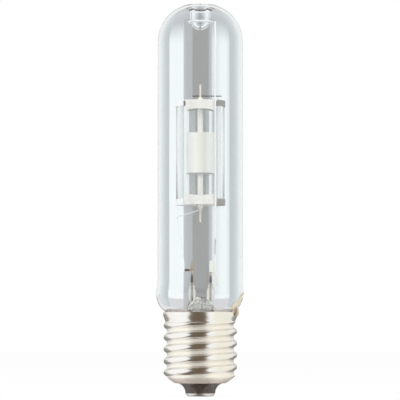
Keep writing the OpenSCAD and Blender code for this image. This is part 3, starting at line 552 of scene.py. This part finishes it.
def bulb_outline(angle):
    left = (1 - math.cos(angle)) / 2
    swell = LEAST_SWELL + (SWELL - LEAST_SWELL) * left
    shoulder = (BULB_R + swell - SHOULDER_R, RIM_Z + SHOULDER_RISE)
    neck_x = NECK_R + NECK_FILLET
    neck = (neck_x, shoulder[1] - fall(SHOULDER_R + NECK_FILLET, neck_x - shoulder[0]))
    neck_lean = lean_of(neck, shoulder)
    bend_x = BULB_R + SWELL_FILLET
    bend = (bend_x, shoulder[1] + fall(SHOULDER_R + SWELL_FILLET, bend_x - shoulder[0]))
    bend_lean = lean_of(shoulder, bend)
    lip = (DIMPLE_R + LIP_R, LAMP_TOP - LIP_R)
    dome_x = BULB_R - DOME_R
    dome = (dome_x, lip[1] - fall(DOME_R - LIP_R, lip[0] - dome_x))
    lip_lean = lean_of(dome, lip)
    thick = DIMPLE_R + DIMPLE_WALL
    hollow_x = thick + HOLLOW_FILLET + HOLLOW_FLARE
    hollow = (hollow_x, dome[1] + fall(DOME_R - BULB_WALL - HOLLOW_FILLET, hollow_x - dome_x))
    hollow_lean = lean_of(dome, hollow)
    tip = (0.0, LAMP_TOP - DIMPLE_DEPTH + DIMPLE_R)
    outside = [(NECK_R, BULB_FOOT)]
    outside += arc(neck, NECK_FILLET, 180, neck_lean)
    outside += arc(shoulder, SHOULDER_R, neck_lean - 180, bend_lean)[1:]
    outside += arc(bend, SWELL_FILLET, bend_lean + 180, 180)[1:]
    outside += arc(dome, DOME_R, 0, lip_lean)
    outside += arc(lip, LIP_R, lip_lean, 180)[1:]
    outside += arc(tip, DIMPLE_R, 0, -90)[:-1] + [(0.0, tip[1] - DIMPLE_R)]
    inside = [(0.0, tip[1] - thick)] + arc(tip, thick, -90, 0)[1:]
    inside += arc(hollow, HOLLOW_FILLET, 180, hollow_lean)
    inside += arc(dome, DOME_R - BULB_WALL, hollow_lean, 0)[1:]
    inside += arc(bend, SWELL_FILLET + BULB_WALL, 180, bend_lean + 180)
    inside += arc(shoulder, SHOULDER_R - BULB_WALL, bend_lean, neck_lean - 180)[1:]
    inside += arc(neck, NECK_FILLET + BULB_WALL, neck_lean, 180)[1:]
    inside += [(NECK_R - BULB_WALL, BULB_FOOT)]
    return outside + inside


stands_for(turned("bulb_envelope", bulb_outline, sides=200), "outer_bulb", bulb_glass)

# %% [markdown]
# ## The shroud
# A short length of thick quartz tube stands round the arc tube. Its cut ends are fire-polished,
# so the edges are slightly round.

# %% Turn the shroud
shroud_low, shroud_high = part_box("shroud")
SHROUD_R = shroud_high[0] / MM
SHROUD_WALL = 1.8
EDGE, EDGE_STEPS = 0.35, 6


def tube_outline(outer, inner, low, high, edge):
    outline = arc((outer - edge, low + edge), edge, -90, 0, EDGE_STEPS)
    outline += arc((outer - edge, high - edge), edge, 0, 90, EDGE_STEPS)
    outline += arc((inner + edge, high - edge), edge, 90, 180, EDGE_STEPS)
    outline += arc((inner + edge, low + edge), edge, 180, 270, EDGE_STEPS)
    return outline


shroud_outline = tube_outline(SHROUD_R, SHROUD_R - SHROUD_WALL, shroud_low[2] / MM,
                              shroud_high[2] / MM, EDGE)
stands_for(turned("shroud_tube", lambda angle: shroud_outline), "shroud", shroud_quartz)

# %% [markdown]
# ## The screw cap
# The shell is thin sheet, rolled to a round knuckle thread that climbs one pitch a turn. Its
# radius is a function of height and angle, so the mesh is a grid of such points, once for the
# outside and once for the inside, joined at the two rims.

# %% Roll the screw shell
CAP_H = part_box("screw_shell")[1][2] / MM
SHELL_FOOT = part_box("screw_shell")[0][2] / MM
THREAD_R, THREAD_ROOT_R, PITCH = 19.7, 17.85, 6.35
CREST_Z = 15.78
SHELL_FOOT_R, CONE_TOP, SKIRT_Z, RIM_R = 13.6, 12.1, 39.8, 20.0
SHEET = 0.4
RIM_STRAIGHT, SKIRT_LEAD = 1, 0.6
THREAD_IN, THREAD_OUT = 2.6, 1.8
KNUCKLE_R = 1.85


def knuckle(turns):
    """From 1 on a crest to -1 in a valley, along two equal arcs that touch each other."""
    across = (turns - math.floor(turns)) * PITCH
    across = min(across, PITCH - across)
    drop = KNUCKLE_R - math.sqrt(KNUCKLE_R**2 - min(across, PITCH / 2 - across)**2)
    depth = THREAD_R - THREAD_ROOT_R
    return 1 - 2 * drop / depth if across < PITCH / 4 else 2 * drop / depth - 1


def ease(t):
    t = min(1.0, max(0.0, t))
    return t * t * (3 - 2 * t)


def shell_radius(z, angle):
    mean = (THREAD_R + THREAD_ROOT_R) / 2
    if z < CONE_TOP:
        rise = math.sin(math.pi / 2 * (z - SHELL_FOOT) / (CONE_TOP - SHELL_FOOT))
        body = SHELL_FOOT_R + (mean - SHELL_FOOT_R) * rise
    else:
        body = mean + (RIM_R - mean) * ease((z - SKIRT_Z) / (CAP_H - RIM_STRAIGHT - SKIRT_Z))
    swell = (THREAD_R - THREAD_ROOT_R) / 2 * ease((z - CONE_TOP + THREAD_IN) / THREAD_IN)
    swell *= ease((SKIRT_Z + SKIRT_LEAD - z) / THREAD_OUT)
    return body + swell * knuckle((z - CREST_Z) / PITCH - angle / (2 * math.pi))


def roll_shell(rows=260, sides=160):
    points, faces = [], []
    for inset in (0.0, SHEET):
        for i in range(rows + 1):
            z = SHELL_FOOT + (CAP_H - SHELL_FOOT) * i / rows
            for j in range(sides):
                a = 2 * math.pi * j / sides
                r = shell_radius(z, a) - inset
                points.append((r * math.cos(a) * MM, r * math.sin(a) * MM, z * MM))
    inner = sides * (rows + 1)
    for j in range(sides):
        k = (j + 1) % sides
        for i in range(rows):
            low, high = i * sides, (i + 1) * sides
            faces.append((low + j, low + k, high + k, high + j))
            faces.append((inner + low + k, inner + low + j, inner + high + j, inner + high + k))
        top = rows * sides
        faces.append((k, j, inner + j, inner + k))
        faces.append((top + j, top + k, inner + top + k, inner + top + j))
    return mesh_piece("rolled_shell", points, faces, sharp=60.0)


stands_for(roll_shell(), "screw_shell", cap_metal)

# %% [markdown]
# ## Drawn wires
# The frame rod and the two links are drawn wire, bent cold round a pin. A wire is a circle that
# is carried along its route, with every corner turned into an arc, so its sides stay smooth.

# %% Helper: a wire carried along a route
WIRE_SIDES, BEND_STEPS = 18, 8


def rounded_route(corners, bend):
    path = [corners[0]]
    for before, corner, after in zip(corners, corners[1:], corners[2:]):
        into, out = (corner - before).normalized(), (after - corner).normalized()
        turn = into.angle(out)
        side = (out - into * into.dot(out)).normalized()
        start = corner - into * bend * math.tan(turn / 2)
        for k in range(BEND_STEPS + 1):
            t = turn * k / BEND_STEPS
            path.append(start + side * bend * (1 - math.cos(t)) + into * bend * math.sin(t))
    return path + [corners[-1]]


def drawn_wire(name, node_name, material, corners, thick, bend):
    path = rounded_route([Vector(corner) for corner in corners], bend)
    points, faces = [], []
    lies_across = abs((path[1] - path[0]).normalized().x) >= 0.9
    side = Vector((0, 1, 0)) if lies_across else Vector((1, 0, 0))
    for i, place in enumerate(path):
        along = (path[min(i + 1, len(path) - 1)] - path[max(i - 1, 0)]).normalized()
        side = (side - along * side.dot(along)).normalized()
        other = along.cross(side)
        for j in range(WIRE_SIDES):
            a = 2 * math.pi * j / WIRE_SIDES
            points.append((place + (side * math.cos(a) + other * math.sin(a)) * thick / 2) * MM)
    for i in range(len(path) - 1):
        for j in range(WIRE_SIDES):
            a, k = i * WIRE_SIDES + j, i * WIRE_SIDES + (j + 1) % WIRE_SIDES
            faces.append((a, k, k + WIRE_SIDES, a + WIRE_SIDES))
    faces.append(tuple(reversed(range(WIRE_SIDES))))
    faces.append(tuple(len(points) - WIRE_SIDES + j for j in range(WIRE_SIDES)))
    stands_for(mesh_piece(name, points, faces), node_name, material)


# %% Draw the frame rod: up from its weld, forward past the shroud, and in to the dimple's ring
ROD_X, ROD_D = 7.9, 1.0
rod_low, rod_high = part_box("frame_rod")
ROD_FOOT_Y, ROD_FRONT_Y, ROD_TIP = -1.05, rod_low[1] / MM + ROD_D / 2, 1.5
ROD_FOOT, RING_Z = rod_low[2] / MM, rod_high[2] / MM - ROD_D / 2
ROD_SET_Z, ROD_SET_H, ROD_LEAN_H = 84.025, 8.0, 9.4
drawn_wire("rod_wire", "frame_rod", nickel_wire, [
    (ROD_X, ROD_FOOT_Y, ROD_FOOT),
    (ROD_X, ROD_FOOT_Y, ROD_SET_Z - ROD_SET_H),
    (ROD_X, ROD_FRONT_Y, ROD_SET_Z),
    (ROD_X, ROD_FRONT_Y, RING_Z - ROD_LEAN_H),
    (ROD_X, -ROD_TIP, RING_Z),
    (ROD_X, ROD_TIP, RING_Z)], ROD_D, 1.5 * ROD_D)

# %% Draw the upper link: across over the end cap, then round behind the rod to its front
LINK_D, LINK_Y, LINK_DROP, LINK_BEND = 0.5, 0.8, 1.1, 0.6
link_low, link_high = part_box("upper_link")
LINK_Z = link_high[2] / MM - LINK_D / 2
LINK_LEFT, HOOK_X, LINK_SWING = link_low[0] / MM, 8.7, 2.6
drawn_wire("upper_link_wire", "upper_link", dark_wire, [
    (LINK_LEFT, LINK_Y, LINK_Z),
    (HOOK_X + 0.7 * LINK_SWING, LINK_Y, LINK_Z),
    (HOOK_X + LINK_SWING, LINK_Y - 1.15 * LINK_SWING, LINK_Z - LINK_DROP / 4),
    (HOOK_X, ROD_FRONT_Y + ROD_D, LINK_Z - LINK_DROP),
    (HOOK_X, ROD_FRONT_Y - 0.6 * ROD_D, LINK_Z - LINK_DROP)], LINK_D, LINK_BEND)

# %% Draw the return wire: up from the bar, out to the left, and across to the lower lead-in
RETURN_D, RETURN_Y, RETURN_X, RETURN_BEND_X = 0.6, 0.85, -8.75, -12.6
RETURN_RISE, RETURN_NEAR_X, RETURN_END_X, RETURN_BEND = 3.6, -0.8, 1.0, 0.8
return_low, return_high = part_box("return_wire")
RETURN_TOP, RETURN_FOOT = return_high[2] / MM - RETURN_D / 2, return_low[2] / MM
drawn_wire("return_wire_drawn", "return_wire", bright_wire, [
    (RETURN_X, RETURN_Y, RETURN_FOOT),
    (RETURN_X, RETURN_Y, RETURN_FOOT + RETURN_RISE),
    (RETURN_BEND_X, RETURN_Y, RETURN_TOP - RETURN_RISE),
    (RETURN_NEAR_X, RETURN_Y, RETURN_TOP),
    (RETURN_END_X, RETURN_Y, RETURN_TOP)], RETURN_D, RETURN_BEND)

# %% [markdown]
# ## Rim, a painted reflection and bubbles
# Three small things are laid on the lamp. The cement is smeared level with the rim, a yellow
# run climbs the glass from the side solder to the neck's right edge as painted reflection,
# standing in for a yellow reflection there, and the press of the stem is full of bubbles,
# since it was squeezed shut while the glass was soft. All are too slight and uneven to be
# solids, so they are small meshes laid on top.

# %% Helper: the bulb's outer radius at a height, just above the rim
SEARCH_H = 20


def glass_radius(z):
    outside = [point for point in bulb_outline(0.0)[:3 * ARC_STEPS] if point[1] < RIM_Z + SEARCH_H]
    for low, high in zip(outside, outside[1:]):
        if low[1] <= z <= high[1]:
            share = (z - low[1]) / (high[1] - low[1])
            return low[0] + (high[0] - low[0]) * share
    return outside[-1][0]


# %% Smear the cement up to the rim
CEMENT_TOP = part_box("basing_cement")[1][2] / MM
CEMENT_PLAY, CEMENT_SINK = 0.06, 0.25
CEMENT_OUTER_DROP, CEMENT_INNER_RISE = 0.3, 0.2
CEMENT_WAVES = [(0.12, 5, 0), (0.08, 11, 1)]


def cement_outline(angle):
    wave = sum(high * math.sin(count * angle + start) for high, count, start in CEMENT_WAVES)
    top = RIM_Z - CEMENT_SINK + wave
    outer = [(shell_radius(z, angle) - SHEET - CEMENT_PLAY, z)
             for z in (CEMENT_TOP, top - CEMENT_OUTER_DROP)]
    inner = [(glass_radius(z) + CEMENT_PLAY, z) for z in (top + CEMENT_INNER_RISE, CEMENT_TOP)]
    middle = [((outer[1][0] + inner[0][0]) / 2, top - CEMENT_SINK)]
    return outer + middle + inner


cement_smear = turned("cement_smear", cement_outline, sides=120)
cement_smear.data.materials.append(cap_cement)
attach(cement_smear, "root")
print("smeared the cement from", round(CEMENT_TOP, 2), "to", round(RIM_Z, 2), "mm")

# %% Lay the yellow run up the glass from the side solder, as painted reflection
RUN_STEPS, RUN_WIDE = 26, 10
RUN_START, RUN_END = (-34.0, 45.3), (-4.0, 55.6)
RUN_THICK, RUN_PLAY, RUN_FOOT = 0.35, 0.03, 0.15
RUN_HALF, RUN_TAPER, RUN_LIFT, RUN_LEAN = 2.3, 1.3, 1.4, 5
RUN_RAGGED, RUN_LUMPS = 0.1, 0.3
run_points, run_faces = [], []
for i in range(RUN_STEPS + 1):
    t = i / RUN_STEPS
    angle = RUN_START[0] + (RUN_END[0] - RUN_START[0]) * t
    middle_z = RUN_START[1] + RUN_LIFT + (RUN_END[1] - RUN_START[1] - RUN_LIFT) * t
    half = (RUN_HALF - RUN_TAPER * t) * math.sqrt(max(0.0, 1 - (2 * t - 1) ** 4))
    half += RUN_RAGGED * math.sin(17 * t)
    for side in (1, 0):
        for j in range(RUN_WIDE + 1):
            u = 2 * j / RUN_WIDE - 1
            z = max(RIM_Z + RUN_FOOT, middle_z + half * u)
            a = math.radians(angle - RUN_LEAN * u * (1 - t))
            lumps = 1 - RUN_LUMPS + RUN_LUMPS * math.sin(9 * t + 3 * u)
            swell = RUN_THICK * (1 - u * u) * lumps * side
            r = (glass_radius(z) + RUN_PLAY + swell) * MM
            run_points.append((r * math.cos(a), r * math.sin(a), z * MM))
row = 2 * (RUN_WIDE + 1)
for i in range(RUN_STEPS):
    for j in range(RUN_WIDE):
        a, b = i * row + j, (i + 1) * row + j
        run_faces.append((a, b, b + 1, a + 1))
        c, d = a + RUN_WIDE + 1, b + RUN_WIDE + 1
        run_faces.append((c, c + 1, d + 1, d))
painted_reflection_run = mesh_piece("painted_reflection_run", run_points, run_faces)
painted_reflection_run.data.materials.append(dried_flux)
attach(painted_reflection_run, "root")
print("painted_reflection_run has", len(painted_reflection_run.data.polygons), "faces")

# %% Fill the press with bubbles
BEAD_H, PRESS_R, PRESS_FACE_Y = 7.5, 7.4, -3.1
PRESS_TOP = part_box("stem_glass")[1][2] / MM - BEAD_H
PRESS_MIDDLE = (0.7, PRESS_TOP - PRESS_R)
BUBBLE_ROWS = [(6.6, 19, 0.8), (5.2, 12, 0.68), (3.7, 6, 0.5)]
BUBBLE_STRAY, BUBBLE_SINK, BUBBLE_VARIES = 0.3, 0.2, 0.3
HOLE_AT, HOLE_FREE = (1.8, 51.4), 1.9
bubble_points, bubble_faces = [], []


def add_bubble(centre, radius, rings=8, sides=12):
    first = len(bubble_points)
    for i in range(rings + 1):
        lean = math.pi * i / rings
        for j in range(sides):
            turn = 2 * math.pi * j / sides
            bubble_points.append((
                (centre[0] + radius * math.sin(lean) * math.cos(turn)) * MM,
                (centre[1] + radius * math.sin(lean) * math.sin(turn)) * MM,
                (centre[2] + radius * math.cos(lean)) * MM))
    for i in range(rings):
        for j in range(sides):
            k = (j + 1) % sides
            a, b = first + i * sides, first + (i + 1) * sides
            bubble_faces.append((a + j, b + j, b + k, a + k))


for radius, count, size in BUBBLE_ROWS:
    for i in range(count):
        turn = math.pi * (i + 0.5) / count
        waver = math.sin(7.3 * i + 3.1 * radius)
        r = radius + BUBBLE_STRAY * waver
        x, z = PRESS_MIDDLE[0] + r * math.cos(turn), PRESS_MIDDLE[1] + r * math.sin(turn)
        if math.dist((x, z), HOLE_AT) < HOLE_FREE:
            continue
        add_bubble((x, PRESS_FACE_Y + BUBBLE_SINK * waver, z),
                   size * (1 + BUBBLE_VARIES * math.sin(11 * i)))
press_bubbles = mesh_piece("press_bubbles", bubble_points, bubble_faces)
press_bubbles.data.materials.append(bubble_glass)
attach(press_bubbles, "root")
print("press_bubbles has", len(press_bubbles.data.polygons), "faces")

# %% [markdown]
# ## Floor, lights and white surroundings
# The photo is cut out on pure white. The world is white for the camera and for gloss and
# glass, and dimmer for the light that falls on matt surfaces. Two soft boxes stand left and
# right and a third hangs above. Clear glass on white would vanish, so flags do what a
# photographer's cards do: some stand behind the lamp and show only through glass, others show
# only in gloss.


# %% Helper: tell the rays of the eye, of gloss and of glass from those that light a surface
def seen_rays(nodes, links):
    rays = nodes.new("ShaderNodeLightPath")
    total = rays.outputs["Is Camera Ray"]
    for ray in ("Is Glossy Ray", "Is Transmission Ray"):
        add = nodes.new("ShaderNodeMath")
        add.operation = "ADD"
        add.use_clamp = True
        links.new(total, add.inputs[0])
        links.new(rays.outputs[ray], add.inputs[1])
        total = add.outputs["Value"]
    return total


# %% Make the world
SOFT_STRENGTH = 0.65
world = bpy.data.worlds.new("studio_white")
bpy.context.scene.world = world
world.use_nodes = True
world_nodes, world_links = world.node_tree.nodes, world.node_tree.links
soft_light = world_nodes["Background"]
soft_light.inputs["Color"].default_value = (1, 1, 1, 1)
soft_light.inputs["Strength"].default_value = SOFT_STRENGTH
white = world_nodes.new("ShaderNodeBackground")
white.inputs["Color"].default_value = (1, 1, 1, 1)
white.inputs["Strength"].default_value = 1.0
choose_world = world_nodes.new("ShaderNodeMixShader")
world_links.new(seen_rays(world_nodes, world_links), choose_world.inputs["Fac"])
world_links.new(soft_light.outputs["Background"], choose_world.inputs[1])
world_links.new(white.outputs["Background"], choose_world.inputs[2])
world_links.new(choose_world.outputs["Shader"], world_nodes["World Output"].inputs["Surface"])
print("the world lights matt surfaces at", SOFT_STRENGTH, "and is white to the eye")

# %% Lay the floor
FLOOR_HALF, FLOOR_WHITE, FLOOR_GLOW = 6.0, 0.98, 0.95
ONE_SHEET = [(0, 1, 2, 3)]
floor = mesh_piece("floor", [(-FLOOR_HALF, -FLOOR_HALF, 0), (FLOOR_HALF, -FLOOR_HALF, 0),
                             (FLOOR_HALF, FLOOR_HALF, 0), (-FLOOR_HALF, FLOOR_HALF, 0)],
                   ONE_SHEET)
floor_paint = bpy.data.materials.new("floor_paint")
floor_paint.use_nodes = True
floor_nodes, floor_links = floor_paint.node_tree.nodes, floor_paint.node_tree.links
floor_shader = floor_nodes["Principled BSDF"]
set_inputs(floor_shader, {"Base Color": (FLOOR_WHITE, FLOOR_WHITE, FLOOR_WHITE, 1),
                          "Roughness": 0.9})
floor_glow = floor_nodes.new("ShaderNodeEmission")
floor_share = floor_nodes.new("ShaderNodeMath")
floor_share.operation = "MULTIPLY"
floor_share.inputs[1].default_value = FLOOR_GLOW
floor_mix = floor_nodes.new("ShaderNodeMixShader")
floor_links.new(seen_rays(floor_nodes, floor_links), floor_share.inputs[0])
floor_links.new(floor_share.outputs["Value"], floor_mix.inputs["Fac"])
floor_links.new(floor_shader.outputs["BSDF"], floor_mix.inputs[1])
floor_links.new(floor_glow.outputs["Emission"], floor_mix.inputs[2])
floor_links.new(floor_mix.outputs["Shader"], floor_nodes["Material Output"].inputs["Surface"])
floor.data.materials.append(floor_paint)
floor.visible_glossy = False
print("laid a floor", 2 * FLOOR_HALF, "m wide")


# %% Set the soft boxes
def soft_box(name, place, size, power, target=(0.0, 0.0, 0.1)):
    data = bpy.data.lights.new(name, "AREA")
    data.shape = "RECTANGLE"
    data.size, data.size_y = size
    data.energy = power
    lamp = bpy.data.objects.new(name, data)
    bpy.context.collection.objects.link(lamp)
    lamp.location = place
    lamp.rotation_euler = (Vector(target) - Vector(place)).to_track_quat("-Z", "Y").to_euler()
    lamp.visible_glossy = False
    lamp.visible_transmission = False


SOFT_BOXES = [
    ("left_box", (-0.9, -0.75, 0.35), (0.5, 0.9), 9.0),
    ("right_box", (0.9, -0.7, 0.35), (0.4, 0.9), 6.0),
    ("top_box", (0.0, -0.3, 1.2), (0.8, 0.8), 3.6),
]
for box in SOFT_BOXES:
    soft_box(*box)
print("set", len(SOFT_BOXES), "soft boxes")

# %% [markdown]
# The flags are cards that only certain rays can see. Far behind the lamp hangs a backdrop for
# the clear glass, with a pale band at each side. Close behind the lamp stands a grey column, so
# the glass shows a dark heart between the bands. Just behind the column, at the height of the
# shroud alone, stands a wider card, because the thick quartz bends the view further. A dark
# arch bends round the front of the lamp, from under it to above it, and only gloss sees it: the
# cap mirrors it as a brown column. A warm board at the right and a low grey one behind give the
# metal its cream side and its shaded lower edges.


# %% Helpers: cards, each seen only by the rays that are named
def card(name, points, faces, cloth, glossy, transmission):
    piece = mesh_piece(name, points, faces)
    piece.data.materials.append(cloth)
    piece.visible_camera = False
    piece.visible_diffuse = False
    piece.visible_shadow = False
    piece.visible_volume_scatter = False
    piece.visible_glossy = glossy
    piece.visible_transmission = transmission
    print("hung", name)


def glowing_cloth(name, colour):
    cloth = bpy.data.materials.new(name)
    cloth.use_nodes = True
    nodes, links = cloth.node_tree.nodes, cloth.node_tree.links
    nodes.remove(nodes["Principled BSDF"])
    glow = nodes.new("ShaderNodeEmission")
    glow.inputs["Color"].default_value = (*colour, 1)
    links.new(glow.outputs["Emission"], nodes["Material Output"].inputs["Surface"])
    return cloth, glow


def upright(x0, x1, y, z0, z1):
    corners = [(x0, y, z0), (x1, y, z0), (x1, y, z1), (x0, y, z1)]
    return [(x * MM, y * MM, z * MM) for x, y, z in corners]


# %% Helper: lay soft strips over a cloth, one after another
def lay_strips(cloth, glow, axis, behind, strips):
    """Each strip is its centre, half width and softness in millimetres, and its colour.

    A colour is three numbers, or the socket that puts out strips laid before."""
    nodes, links = cloth.node_tree.nodes, cloth.node_tree.links
    latest = behind
    for centre, half, soft, colour in strips:
        strip = strip_node(nodes, links, axis, centre, half, soft)
        for socket_name, given in (("Behind", latest), ("Strip", colour)):
            if isinstance(given, tuple):
                strip.inputs[socket_name].default_value = (*given, 1)
            else:
                links.new(given, strip.inputs[socket_name])
        latest = strip.outputs["Color"]
    links.new(latest, glow.inputs["Color"])
    return latest


# %% Hang the far backdrop: pale bands that fade out at dome and shoulder
BACK_Y, BACK_REACH, BACK_FOOT, BACK_TOP = 400.0, 330.0, -60.0, 420.0
REACH = 1 + BACK_Y * MM / CAMERA_DISTANCE
OUTER_WHITE, MIDDLE_GREY = (0.90, 0.92, 0.92), (0.48, 0.52, 0.54)
FOOT_GREY, TOP_GREY = (0.66, 0.645, 0.66), (0.47, 0.495, 0.515)
BAND_FOOT_Z, BAND_TOP_Z, FAR = 49.0, 249.0, 250.0
GLOW_RISE, FOOT_FADE, TOP_FADE = 6, 4, 23
LEFT_BAND, RIGHT_BAND, RIGHT_GLOW = (0.95, 0.98, 0.99), (0.77, 0.80, 0.82), (0.94, 0.97, 0.985)
BAND_STRIPS = [
    (-2.5, 76.0, 40.0, MIDDLE_GREY),
    (-23.0, 13.4, 1.2, LEFT_BAND),
    (20.0, 12.4, 2.2, RIGHT_BAND),
    (22.4, 6.0, 4.0, RIGHT_GLOW),
]
backdrop_cloth, backdrop_glow = glowing_cloth("backdrop_cloth", (1, 1, 1))
strips = []
for centre, half, soft, colour in BAND_STRIPS:
    if colour != MIDDLE_GREY:
        colour = lay_strips(backdrop_cloth, backdrop_glow, "Z", colour,
                            [(BAND_FOOT_Z + GLOW_RISE, 2, 8, (1.0, 1.0, 1.0)),
                             (BAND_TOP_Z + FAR, FAR, TOP_FADE, TOP_GREY),
                             (BAND_FOOT_Z - FAR, FAR, FOOT_FADE, FOOT_GREY)])
    strips.append((centre * REACH, half * REACH, soft * REACH, colour))
lay_strips(backdrop_cloth, backdrop_glow, "X", OUTER_WHITE, strips)
card("backdrop", upright(-BACK_REACH, BACK_REACH, BACK_Y, BACK_FOOT, BACK_TOP), ONE_SHEET,
     backdrop_cloth, False, True)

# %% Hang the grey column close behind the lamp, with soft see-through edges
COLUMN_Y = 75.0
NEAR_REACH = 1 + COLUMN_Y * MM / CAMERA_DISTANCE
COLUMN_LEFT, COLUMN_RIGHT, COLUMN_TOP = -14, 12, 262
COLUMN, COLUMN_HALF, COLUMN_SOFT = -1.6, 8.6, 0.6
HEART, HEART_HALF, HEART_SOFT = 0.3, 5.0, 0.7
COLUMN_GREY, HEART_GREY = (0.475, 0.48, 0.495), (0.335, 0.332, 0.328)
column_cloth, column_glow = glowing_cloth("column_cloth", (1, 1, 1))
lay_strips(column_cloth, column_glow, "X", COLUMN_GREY,
           [(HEART * NEAR_REACH, HEART_HALF * NEAR_REACH, HEART_SOFT * NEAR_REACH, HEART_GREY)])
nodes, links = column_cloth.node_tree.nodes, column_cloth.node_tree.links
veil = strip_node(nodes, links, "X", COLUMN * NEAR_REACH, COLUMN_HALF * NEAR_REACH,
                  COLUMN_SOFT * NEAR_REACH)
set_inputs(veil, {"Behind": (0, 0, 0, 1), "Strip": (1, 1, 1, 1)})
clear = nodes.new("ShaderNodeBsdfTransparent")
column_mix = nodes.new("ShaderNodeMixShader")
links.new(veil.outputs["Color"], column_mix.inputs["Fac"])
links.new(clear.outputs["BSDF"], column_mix.inputs[1])
links.new(column_glow.outputs["Emission"], column_mix.inputs[2])
links.new(column_mix.outputs["Shader"], nodes["Material Output"].inputs["Surface"])
card("grey_column", upright(COLUMN_LEFT, COLUMN_RIGHT, COLUMN_Y, 0, COLUMN_TOP), ONE_SHEET,
     column_cloth, False, True)

# %% Widen the column, and the pale band beside it, where the shroud bends the view of them
CARD_LEFT, CARD_RIGHT, CARD_Y = -22.4, 9.0, COLUMN_Y + 2
CARD_FOOT, CARD_TOP = shroud_low[2] / MM + 6, shroud_high[2] / MM - 2
WIDE_COLUMN, WIDE_HALF, WIDE_SOFT, WIDE_GREY = -1.0, 11.0, 0.7, (0.46, 0.465, 0.46)
shroud_cloth, shroud_glow = glowing_cloth("shroud_cloth", (1, 1, 1))
lay_strips(shroud_cloth, shroud_glow, "X", LEFT_BAND,
           [(WIDE_COLUMN, WIDE_HALF, WIDE_SOFT, WIDE_GREY)])
card("shroud_column", upright(CARD_LEFT, CARD_RIGHT, CARD_Y, CARD_FOOT, CARD_TOP), ONE_SHEET,
     shroud_cloth, False, True)

# %% Bend a dark arch round the front of the lamp, for the cap to mirror
ARCH_R, ARCH_STEPS, ARCH_LOW, ARCH_HIGH, ARCH_Z = 420.0, 40, -118.0, 80.0, 30.0
ARCH_LEFT, ARCH_RIGHT = -420.0, 300.0
ARCH_DARK, ARCH_DARK_HALF, ARCH_DARK_SOFT, ARCH_BROWN = -57, 205, 45, (0.15, 0.115, 0.08)
arch_points, arch_faces = [], []
for i in range(ARCH_STEPS + 1):
    a = math.radians(ARCH_LOW + (ARCH_HIGH - ARCH_LOW) * i / ARCH_STEPS)
    y, z = -ARCH_R * math.cos(a), ARCH_Z + ARCH_R * math.sin(a)
    for x in (ARCH_LEFT, ARCH_RIGHT):
        arch_points.append((x * MM, y * MM, z * MM))
    if i < ARCH_STEPS:
        arch_faces.append((2 * i, 2 * i + 1, 2 * i + 3, 2 * i + 2))
arch_cloth, arch_glow = glowing_cloth("arch_cloth", (1, 1, 1))
lay_strips(arch_cloth, arch_glow, "X", (1.0, 1.0, 1.0),
           [(ARCH_DARK, ARCH_DARK_HALF, ARCH_DARK_SOFT, ARCH_BROWN)])
card("dark_arch", arch_points, arch_faces, arch_cloth, True, False)

# %% Stand a warm board to the right and a low grey one behind, both for gloss alone
WARM_NEAR, WARM_FAR, WARM_FOOT, WARM_TOP = (300, -300), (420, 240), -600, 800
LOW_HALF, LOW_Y, LOW_FOOT, LOW_TOP = 700, 520, -500, 42
WARM_CREAM, LOW_GREY = (0.93, 0.91, 0.82), (0.42, 0.41, 0.40)
warm_points = [(*WARM_NEAR, WARM_FOOT), (*WARM_FAR, WARM_FOOT), (*WARM_FAR, WARM_TOP),
               (*WARM_NEAR, WARM_TOP)]
warm_cloth, _ = glowing_cloth("warm_cloth", WARM_CREAM)
card("warm_board", [tuple(c * MM for c in point) for point in warm_points], ONE_SHEET,
     warm_cloth, True, False)
low_cloth, _ = glowing_cloth("low_cloth", LOW_GREY)
card("low_board", upright(-LOW_HALF, LOW_HALF, LOW_Y, LOW_FOOT, LOW_TOP), ONE_SHEET, low_cloth,
     True, False)

# %% [markdown]
# ## Last settings
# The picture is shown as it is lit, with no look laid over it.

# %% Keep the view settings plain
bpy.context.scene.view_settings.view_transform = "Standard"
print("view transform:", bpy.context.scene.view_settings.view_transform)
